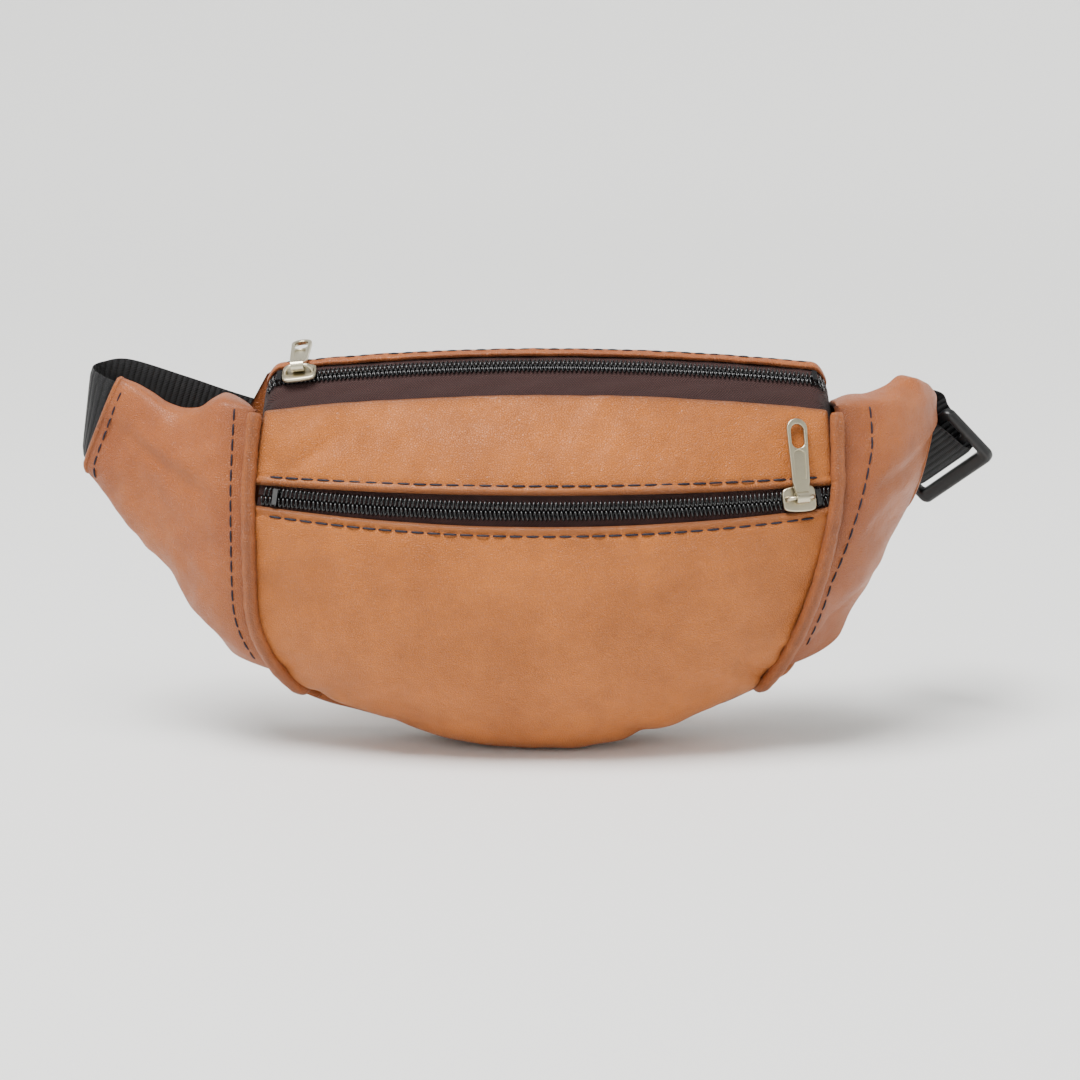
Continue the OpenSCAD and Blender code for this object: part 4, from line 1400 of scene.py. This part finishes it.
ZIPS = {
    "main": (ZipHalf("main_tape_front", "main_chain_front", -1, 12.4, 0.42),
             ZipHalf("main_tape_back", "main_chain_back", 1, 8.0, 0.0)),
    "front": (ZipHalf("front_tape_lower", "front_chain_lower", -1, 5.9, 0.21),
              ZipHalf("front_tape_upper", "front_chain_upper", 1, 8.1, 0.0)),
}


def zip_dive(x: Array) -> Array:
    """How far the main zip and its band dip at x, where they run under the wings."""
    return S.dive * np.maximum(np.abs(x - S.centre_x) - S.zip_hold, 0) ** 2


@dataclass
class Zips(Assembly):
    """Both zips: tapes, spirals, sliders and pull tabs."""

    coil_pitch: float = 1.45
    coil_half: float = 94.0
    turn_points: int = 14
    main_tape_half: float = 96.5
    front_tape_half: float = 95.5
    stop: float = 2.1
    main_tab_lift: float = -16.0
    front_tab_lift: float = -3.0
    eye_out: float = 2.0
    eye_in: float = 1.16
    eye_half: float = 2.1

    def build(self) -> None:
        """Makes both zips."""
        for name in ZIPS:
            self.zip_line(name)
        rest = S.zip_half - self.stop - S.slider_length / 2
        m = self.local(True, -math.asin(rest / S.main_radius))
        f = self.local(False, math.asin(rest / S.front_radius))
        self.slider("main", m, 1)
        self.slider("front", f, -1)
        pin = Matrix.Translation((0, 0, S.pin_height))
        self.pull("main", m @ pin @ Matrix.Rotation(math.radians(self.main_tab_lift), 4, "X"), 3)
        self.pull("front", f @ pin @ Matrix.Rotation(math.radians(self.front_tab_lift), 4, "X"), -4)

    @staticmethod
    def local(main: bool, angle: float) -> Matrix:
        """Frame of a spot on a zip: x along it, y across it, z out of it.

        Args:
            main: whether it's the main zip.
            angle: the spot's angle about the zip's centre of curvature, 0 in the middle.

        Returns:
            The frame's matrix, in pack millimetres.
        """
        radius, at = (S.main_radius, main_at) if main else (S.front_radius, front_at)
        origin = at(np.array([S.centre_x + radius * math.sin(angle)]), np.zeros(1), np.zeros(1))[0]
        if main:
            out = math.cos(angle) * MAIN_OUT + math.sin(angle) * AXIS_X
            across = MAIN_BACK
        else:
            a = math.radians(S.front_turn)
            radial = math.cos(angle) * FRONT_OUT + math.sin(angle) * AXIS_X
            out = math.cos(a) * radial + math.sin(a) * FRONT_UP
            across = math.cos(a) * FRONT_UP - math.sin(a) * radial
        return placed(origin, np.cross(across, out), across, out)

    def zip_line(self, name: str) -> None:
        """The two tapes and the two interlocking spirals of one zip.

        A spiral is x = pitch * turns, v = side * (1.62 - 1.42 cos), h = 1.28 + 0.62 sin, half a pitch
        off its neighbour.

        Args:
            name: "main" or "front".
        """
        main = name == "main"

        def spot(x: Array, v: Array, h: Array) -> Array:
            """Points at x, v across the zip and h out of it."""
            return main_at(x, h - zip_dive(x), v) if main else front_at(x, v, h)
        half = self.main_tape_half if main else self.front_tape_half
        for z in ZIPS[name]:
            x = mix(-half, half, np.linspace(0, 1, 181)) + S.centre_x
            xx, vv = np.meshgrid(x, np.linspace(0.3, z.width, 15), indexing="ij")
            fall = -z.slope * np.maximum(vv - 3.2, 0)
            wave = 0.1 * np.sin(xx / 4.2 + vv) + 0.06 * np.sin(xx / 1.7)
            top = spot(xx, z.sign * vv, 0.4 + fall + wave * np.clip((vv - 3) / 2, 0, 1))
            low = spot(xx, z.sign * vv, -0.3 + fall)
            uv = np.stack([xx, vv], axis=-1) / 1000
            if z.sign < 0:
                top, low, uv = top[:, ::-1], low[:, ::-1], uv[:, ::-1]
            self.keep(shell(f"{z.tape}_cloth", top, low, uv), self.palette.tape, "zip_tape", z.tape)
        turns = int(2 * self.coil_half / self.coil_pitch)
        ph = np.arange(turns * self.turn_points + 1) / self.turn_points
        a = 2 * np.pi * ph
        for z in ZIPS[name]:
            x = S.centre_x - self.coil_half + (ph + (0.5 if z.sign > 0 else 0.0)) * self.coil_pitch
            c = spot(x, z.sign * (1.62 - 1.42 * np.cos(a)), 1.28 + 0.62 * np.sin(a))
            rings = round_rings(c, 0.37 + 0.08 * np.cos(a), AXIS_X, 7)
            self.keep(tube(f"{z.chain}_spiral", rings), self.palette.coil, "zip_coil", z.chain)

    def slider(self, name: str, place: Matrix, mouth: int) -> None:
        """A die-cast slider: two plates, its wedge and the arched bridge that holds the tab.

        Args:
            name: "main" or "front".
            place: the slider's frame.
            mouth: 1, or -1 to turn the plates' outline end for end.
        """
        h = S.slider_length / 2
        x = np.array([-h, -h + 1.8, h - 3.5, h]) * mouth
        y = np.array([2.9, 4.3, 4.2, 3.0])
        plate = smooth_loop(np.concatenate([np.column_stack([x, -y]), np.column_stack([x, y])[::-1]]), 6)
        wedge = np.array([(-h + 1, -0.3), (-h + 4.2, -0.3), (-h + 4.2, 0.3), (-h + 1, 0.3)])
        parts = [solid_plate(f"{name}_slider_top", [plate], 1.5, 0.5, place, 2.85),
                 solid_plate(f"{name}_slider_under", [plate], 1.0, 0.35, place, -1.4),
                 solid_plate(f"{name}_slider_wedge", [wedge], 3.4, 0.1, place, 0.6)]
        self.keep(joined(f"{name}_slider_body", parts), self.palette.metal, "nickel", f"{name}_slider",
                  body=f"{name}_slider")
        arch = path([(-4.6, 0, 3.2), (-4.3, 0, 4.6), (-3.3, 0, 5.7), (-1.6, 0, 5.95), (1.6, 0, 5.95),
                     (3.3, 0, 5.7), (4.3, 0, 4.6), (4.6, 0, 3.2)], 40)
        from_middle = np.abs(np.linspace(-1, 1, len(arch)))
        wide = np.interp(from_middle, [0, 0.45, 0.8, 1], [0.66, 0.66, 1.0, 1.2])
        thin = np.interp(from_middle, [0, 0.5, 1], [0.64, 0.64, 0.7])
        rings = moved(place, round_rings(arch, wide, (0.0, 1.0, 0.0), 14, thin))
        self.keep(tube(f"{name}_slider_bridge", rings), self.palette.metal, "nickel",
                  f"{name}_slider_bail", body=f"{name}_slider")

    def pull(self, name: str, place: Matrix, turn: float) -> None:
        """The pull tab: a stamped plate with a raised border, an oval hole and an eye round its pin.

        Args:
            name: "main" or "front".
            place: frame of the tab's pin, with the tab lying along y.
            turn: how far the tab swings sideways on its pin, in degrees.
        """
        w, e = S.pull_width / 2, S.pull_length - S.pull_width / 2
        spin = place @ Matrix.Rotation(math.radians(turn), 4, "Z")
        body = np.concatenate([[(-1.9, 0.9), (1.9, 0.9), (2.25, 2.4), (w - 0.55, 5.2)],
                               arc(0, e, w, -3, 183, 28), [(-w + 0.55, 5.2), (-2.25, 2.4)]])
        hole = np.concatenate([arc(0, e - 0.6, w - 1.3, 0, 180), arc(0, e - 4.4, w - 1.3, 180, 360)])
        dip = np.concatenate([[(-w + 1.75, 6.2), (w - 1.75, 6.2)], arc(0, e - 9.2, w - 1.55, 15, 165, 12)])
        web = [inset_loop(body, 0.5), inset_loop(hole, -0.4)]
        parts = [solid_plate(f"{name}_pull_rim", [body, hole, dip], 1.6, 0.32, spin),
                 solid_plate(f"{name}_pull_web", web, 0.8, 0.1, spin)]
        a = np.linspace(0, 2 * np.pi, 28, endpoint=False)[:, None]
        r = np.array([self.eye_out, self.eye_out, self.eye_in, self.eye_in])
        wide = self.eye_half * np.array([-1, 1, 1, -1])
        eye = moved(place, stack(wide, r * np.cos(a), r * np.sin(a)))
        parts.append(tidy(make_mesh(f"{name}_pull_eye", eye.reshape(-1, 3), quad_ids(28, 4, True, True))))
        self.keep(joined(f"{name}_pull_tab", parts), self.palette.metal, "nickel", f"{name}_pull",
                  body=f"{name}_pull")


def arc(cx: float, cy: float, r: float, a0: float, a1: float, n: int = 16) -> Array:
    """n points of a circle of radius r round (cx, cy), from a0 to a1 degrees."""
    a = np.radians(np.linspace(a0, a1, n))
    return np.column_stack([cx + r * np.cos(a), cy + r * np.sin(a)])


def rounded_box(x0: float, x1: float, half: float, r: float) -> Array:
    """Outline of a box from x0 to x1 and ``half`` to either side, with corners of radius r."""
    return np.concatenate([arc(x1 - r, half - r, r, 0, 90, 7), arc(x0 + r, half - r, r, 90, 180, 7),
                           arc(x0 + r, -half + r, r, 180, 270, 7), arc(x1 - r, -half + r, r, 270, 360, 7)])


def smooth_loop(points: Array, per: int) -> Array:
    """Closed outline with rounded corners: its polygon blended by 0.7 into a Catmull-Rom curve.

    Args:
        points: the polygon's corners.
        per: steps from corner to corner.

    Returns:
        The outline's points.
    """
    n = len(points)
    q = np.arange(n * per) / per
    i = q.astype(int)
    t = (q - i)[:, None]
    b, c = points[i], points[(i + 1) % n]
    return mix(b * (1 - t) + c * t, catmull(points[i - 1], b, c, points[(i + 2) % n], t), 0.7)


def inset_loop(points: Array, by: float) -> Array:
    """Outline drawn towards its middle.

    Args:
        points: the outline.
        by: how far, in millimetres; away from the middle if negative.

    Returns:
        The new outline.
    """
    mid = points.mean(axis=0)
    v = points - mid
    return mid + v * (1 - by / np.maximum(np.linalg.norm(v, axis=1, keepdims=True), 0.1))


def solid_plate(name: str, outlines: Sequence[Array], height: float, bevel: float, place: Matrix,
                z: float = 0.0) -> bpy.types.Object:
    """A plate of the outlines, the first outside and the rest holes, with rounded edges.

    Args:
        name: the piece's name.
        outlines: closed outlines of XY points in millimetres.
        height: thickness.
        bevel: radius of the rounded edges.
        place: where the plate's own frame stands, in pack millimetres.
        z: height of the plate's middle in its own frame.

    Returns:
        The object.
    """
    curve = bpy.data.curves.new(name, "CURVE")
    curve.dimensions = "2D"
    curve.fill_mode = "BOTH"
    curve.extrude = height / 2 - bevel
    curve.bevel_depth = bevel
    curve.bevel_resolution = 3
    curve.offset = -bevel
    for pts in outlines:
        sp = curve.splines.new("POLY")
        sp.points.add(len(pts) - 1)
        sp.points.foreach_set("co", np.column_stack([pts, np.zeros(len(pts)), np.ones(len(pts))]).ravel())
        sp.use_cyclic_u = True
    temp = bpy.data.objects.new(name, curve)
    bpy.context.scene.collection.objects.link(temp)
    mesh = bpy.data.meshes.new_from_object(temp.evaluated_get(bpy.context.evaluated_depsgraph_get()))
    bpy.data.objects.remove(temp)
    for step in (Matrix.Translation((0, 0, z)), place, Matrix.Translation(Vector(SPACE.shift)),
                 Matrix.Scale(0.001, 4)):
        mesh.transform(step)
    mesh.name = name
    obj = bpy.data.objects.new(name, mesh)
    bpy.context.scene.collection.objects.link(obj)
    return tidy(obj)


SHARP = math.radians(38)


def tidy(obj: bpy.types.Object) -> bpy.types.Object:
    """Merges doubled points, turns faces outward and shades by angle.

    Args:
        obj: the object, which is changed.

    Returns:
        The same object.
    """
    bm = bmesh.new()
    bm.from_mesh(obj.data)
    bmesh.ops.remove_doubles(bm, verts=bm.verts, dist=2e-6)
    bmesh.ops.recalc_face_normals(bm, faces=bm.faces)
    bm.to_mesh(obj.data)
    bm.free()
    obj.data.materials.clear()
    obj.data.shade_smooth()
    obj.data.set_sharp_from_angle(angle=SHARP)
    return obj


def joined(name: str, parts: Sequence[bpy.types.Object]) -> bpy.types.Object:
    """Puts the meshes of several objects into one, and removes them.

    Args:
        name: the new object's name.
        parts: the objects, whose meshes are already in place.

    Returns:
        The new object.
    """
    bm = bmesh.new()
    for part in parts:
        bm.from_mesh(part.data)
    mesh = bpy.data.meshes.new(name)
    bm.to_mesh(mesh)
    bm.free()
    for part in parts:
        bpy.data.objects.remove(part)
    obj = bpy.data.objects.new(name, mesh)
    bpy.context.scene.collection.objects.link(obj)
    mesh.shade_smooth()
    mesh.set_sharp_from_angle(angle=SHARP)
    return obj


@dataclass
class Belt(Assembly):
    """The waist belt: two webbing straps, a tri-glide and a side-release buckle."""

    buckle_mid: tuple[float, float, float] = (-32.0, 9.2, 85.0)
    socket_half: float = 21.0
    plug_reach: float = 20.4
    loop: float = 3.9
    glide_mid: tuple[float, float, float] = (140.6, 25.5, 91.3)
    glide_wide: tuple[float, float, float] = (0.5, -0.644, 0.573)
    glide_long: tuple[float, float, float] = (0.69, -0.1, -0.716)
    edge_radius: float = 0.7

    def build(self) -> None:
        """Makes the straps and the adjuster, and dresses the buckle."""
        w = unit(np.array(self.glide_wide))
        n = unit(np.cross(w, self.glide_long))
        along = np.cross(n, w)
        self.strap("left", self.left_route())
        self.strap("right", self.right_route(along, n, w))
        self.adjuster(along, n, w)
        for node in ("buckle_socket", "buckle_plug", "upper_latch", "lower_latch"):
            edge = self.as_made(node, self.palette.buckle).modifiers.new("rounded_edges", "BEVEL")
            edge.width, edge.segments, edge.limit_method = self.edge_radius / 1000, 3, "ANGLE"
            edge.angle_limit, edge.harden_normals = math.radians(40), True

    def at_buckle(self, spots: Sequence[tuple[float, float]]) -> list[tuple[Array, Array]]:
        """Control points of a strap at the buckle.

        Args:
            spots: distances along the buckle and behind its middle.

        Returns:
            A centre and a width direction for each.
        """
        a = math.radians(S.belt_tilt)
        up = np.array([math.sin(a), 0, math.cos(a)])
        return [(np.array(self.buckle_mid) + [x * math.cos(a), y, -x * math.sin(a)], up) for x, y in spots]

    def left_route(self) -> list:
        """Control points of the left strap, from its wing round behind the bag to the socket's bar."""
        r, end = self.loop, -self.socket_half
        points = [((-139.5, -1.6, 102.6), (0.39, 0.05, 0.92)), ((-147.6, 0.6, 107.2), (0.39, 0.03, 0.92)),
                  ((-152.6, 3.2, 109.8), (0.22, 0, 0.97)), ((-154.8, 8, 111.4), (0.14, 0, 0.99)),
                  ((-152.4, 12.9, 112.6), (0.18, 0, 0.98)), ((-145, 14.8, 113.4), (0.28, 0, 0.95)),
                  ((-126, 14.2, 107.6), (0.31, 0, 0.95)), ((-107.5, 13.6, 101.4), (0.3, 0, 0.95)),
                  ((-84, 13.3, 94.6), (0.22, 0, 0.97))]
        bar = [(2, r), (2 + r * 0.8, r * 0.6), (2 + r, 0), (2 + r * 0.8, -r * 0.6), (2, -r)]
        tail = [(-5, -r + 0.4), (-14, -1), (-24, 0.4)]
        return points + self.at_buckle([(end + x, y) for x, y in [(-12, 4.3), (-4, r), *bar, *tail]])

    def right_route(self, along: Array, n: Array, w: Array) -> list:
        """Control points of the right strap, from the plug's bar through its folds and the adjuster.

        Args:
            along: direction along the adjuster.
            n: direction out of it.
            w: direction across it.

        Returns:
            A centre and a width direction for each.
        """
        r, end = self.loop, self.socket_half + self.plug_reach
        bar = [(0, r), (-r * 0.8, r * 0.6), (-r, 0), (-r * 0.8, -r * 0.6), (0, -r)]
        tail = [(22, 0.6), (12, 1.4), (4, r - 0.3)]
        points = self.at_buckle([(end + x, y) for x, y in [*tail, *bar, (8, -r)]])
        points += [((56, 4.6, 76.5), (0.03, 0, 1)), ((98, 4.4, 77.5), (-0.04, 0, 1)),
                   ((101.2, 6.6, 78), (-0.04, 0, 1)), ((98, 8.8, 78.6), (-0.04, 0, 1)),
                   ((56, 9.4, 81.5), (-0.06, 0, 1)), ((52.6, 11.6, 82), (-0.08, 0, 1)),
                   ((56, 13.8, 82.6), (-0.1, 0, 1)), ((98, 15.5, 90.5), (-0.16, 0, 0.98)),
                   ((115, 22, 97.5), (-0.05, -0.25, 0.96)), ((124.5, 30.5, 104), (0.25, -0.5, 0.8))]
        points += [(np.array(self.glide_mid) + x * along + y * n, w) for x, y in (
            (-16.5, 7.2), (-11.5, 5.6), (-5, 4.2), (1, 3.4), (3.7, 2), (4.4, 0), (3.7, -2), (1, -3.4),
            (-5, -4.2), (-11.5, -5.8), (-15, -7.4))]
        return points + [((130.6, 14.6, 97.4), (0.4, -0.22, 0.84)), ((127.5, 8.5, 96), (0.22, 0.28, 0.92))]

    def strap(self, side: str, points: Sequence) -> None:
        """Ribbed webbing: a flat section with softened edges, carried along the control points.

        Args:
            side: "left" or "right".
            points: a centre and a width direction for each control point.
        """
        steps = 60 * (len(points) - 1) // 3
        c = path([p[0] for p in points], steps)
        wide = unit(path([p[1] for p in points], steps))
        flat = unit(np.cross(wide, np.gradient(c, axis=0)))
        wide = unit(wide - np.sum(wide * flat, -1, keepdims=True) * flat)
        q = np.linspace(-1, 1, 13)
        half = S.belt_half * q * (1 - 0.012 * q**4)
        thick = S.belt_thickness / 2 * np.sqrt(np.clip(1 - np.abs(q) ** 9, 0.06, 1))
        profile = np.concatenate([np.column_stack([half, thick]), np.column_stack([half, -thick])[::-1]])
        rings = c[:, None] + profile[None, :, :1] * wide[:, None] + profile[None, :, 1:] * flat[:, None]
        run = lengths(c, 0)
        uv = np.stack(np.broadcast_arrays(run[:, None], (profile[:, 0] + S.belt_half)[None]), -1) / 1000
        obj = tube(f"{side}_belt_webbing", rings, uv)
        obj.data.set_sharp_from_angle(angle=math.radians(50))
        self.keep(obj, self.palette.webbing, "webbing", f"{side}_strap")

    def adjuster(self, along: Array, n: Array, w: Array) -> None:
        """The tri-glide: a thick rounded frame with two slots and a middle bar.

        Args:
            along: direction along it.
            n: direction out of it.
            w: direction across it.
        """
        slot = S.belt_half + 0.9
        outlines = [rounded_box(-12, 12, S.belt_half + 4, 3), rounded_box(-8.6, -1.7, slot, 0.9),
                    rounded_box(1.7, 6.9, slot, 0.9)]
        place = placed(np.array(self.glide_mid), along, w, -n)
        frame = solid_plate("adjuster_frame", outlines, 4.0, 1.3, place)
        self.keep(frame, self.palette.buckle, "buckle_plastic", "adjuster", body="adjuster")


@dataclass
class Inside(Assembly):
    """The hidden CAD pieces, which keep their shape and only take a material."""

    def build(self) -> None:
        """Dresses the padding, the linings and the end stops."""
        for node in ("back_padding", "back_lining", "pocket_lining"):
            self.as_made(node, self.palette.foam)
        for node in ("main_end_stops", "front_end_stops"):
            self.as_made(node, self.palette.coil)


@dataclass
class Studio:
    """Floor, lights, world and camera; sizes are in metres."""

    palette: Palette
    flat: float = 1.7
    bend: float = 1.2
    wall: float = 2.6
    sides: int = 96
    sky: float = 0.4
    sun: float = 3.9
    sun_spread: float = 28.0
    lens: float = 85.0
    aim: tuple[float, float, float] = (0.0005, 0.0, 0.0695)
    away: float = 0.875
    elevation: float = 13.5

    def build(self) -> None:
        """Sets the stage round the finished object."""
        self.floor()
        self.sky_and_sun()
        self.light("top", (-0.1, -0.25, 1.0), (0.0, -0.02, 0.06), 0.5, 8)
        self.light("front_left", (-0.7, -1.0, 0.8), (0, 0, 0.07), 0.5, 3)
        self.camera()

    def floor(self) -> None:
        """A round sheet of paper: flat, then bent up along a quarter circle into a wall all round."""
        ang = np.radians(np.linspace(0, 90, 25))
        reach = np.concatenate([[0.3, 0.8], self.flat + self.bend * np.sin(ang), [self.flat + self.bend]])
        high = np.concatenate([[0.0, 0.0], self.bend * (1 - np.cos(ang)), [self.wall]])
        turn = np.linspace(0, 2 * np.pi, self.sides, endpoint=False)
        grid = stack(reach[:, None] * np.cos(turn), reach[:, None] * np.sin(turn), high[:, None])
        faces = quad_ids(len(reach), self.sides, False, True).tolist() + [list(range(self.sides))]
        mesh = bpy.data.meshes.new("floor")
        mesh.from_pydata(grid.reshape(-1, 3).tolist(), [], faces)
        mesh.shade_smooth()
        floor = bpy.data.objects.new("floor", mesh)
        bpy.context.scene.collection.objects.link(floor)
        Palette.dress(floor, self.palette.floor)

    def sky_and_sun(self) -> None:
        """An even white sky and a wide, soft sun from above."""
        world = bpy.data.worlds.new("studio")
        world.use_nodes = True
        background = world.node_tree.nodes["Background"]
        background.inputs[0].default_value = (1, 1, 1, 1)
        background.inputs[1].default_value = self.sky
        bpy.context.scene.world = world
        sun = bpy.data.lights.new("sky", "SUN")
        sun.energy, sun.angle = self.sun, math.radians(self.sun_spread)
        lamp = bpy.data.objects.new("sky", sun)
        lamp.rotation_euler = aimed(Vector((0.3, 0.22, -1)))
        bpy.context.scene.collection.objects.link(lamp)

    def camera(self) -> None:
        """The main camera, in front of the pack and a little above it."""
        cam = bpy.data.cameras.new("camera")
        cam.lens, cam.sensor_width = self.lens, 36
        obj = bpy.data.objects.new("camera", cam)
        bpy.context.scene.collection.objects.link(obj)
        e = math.radians(self.elevation)
        obj.location = Vector(self.aim) + Vector((0, -self.away * math.cos(e), self.away * math.sin(e)))
        obj.rotation_euler = aimed(Vector(self.aim) - obj.location)
        bpy.context.scene.camera = obj

    @staticmethod
    def light(name: str, where: tuple, at: tuple, size: float, power: float) -> None:
        """A soft square lamp.

        Args:
            name: the lamp's name.
            where: its place.
            at: what it points at.
            size: its width.
            power: its power, in watts.
        """
        lamp = bpy.data.lights.new(name, "AREA")
        lamp.size, lamp.energy = size, power
        obj = bpy.data.objects.new(name, lamp)
        obj.location = where
        obj.rotation_euler = aimed(Vector(at) - Vector(where))
        bpy.context.scene.collection.objects.link(obj)


def aimed(way: Vector) -> Euler:
    """Rotation of a lamp or camera that looks along ``way``."""
    return way.to_track_quat("-Z", "Y").to_euler()


def main() -> None:
    """Builds the scene."""
    global SPACE
    logging.basicConfig(level=logging.INFO, format="%(message)s")
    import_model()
    SPACE = Space.from_frame()
    palette = Palette()
    for kind in (Panels, Cords, Zips, Belt, Inside):
        part = kind(palette)
        part.build()
        part.report()
    Studio(palette).build()
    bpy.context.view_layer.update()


if __name__ == "__main__":
    main()
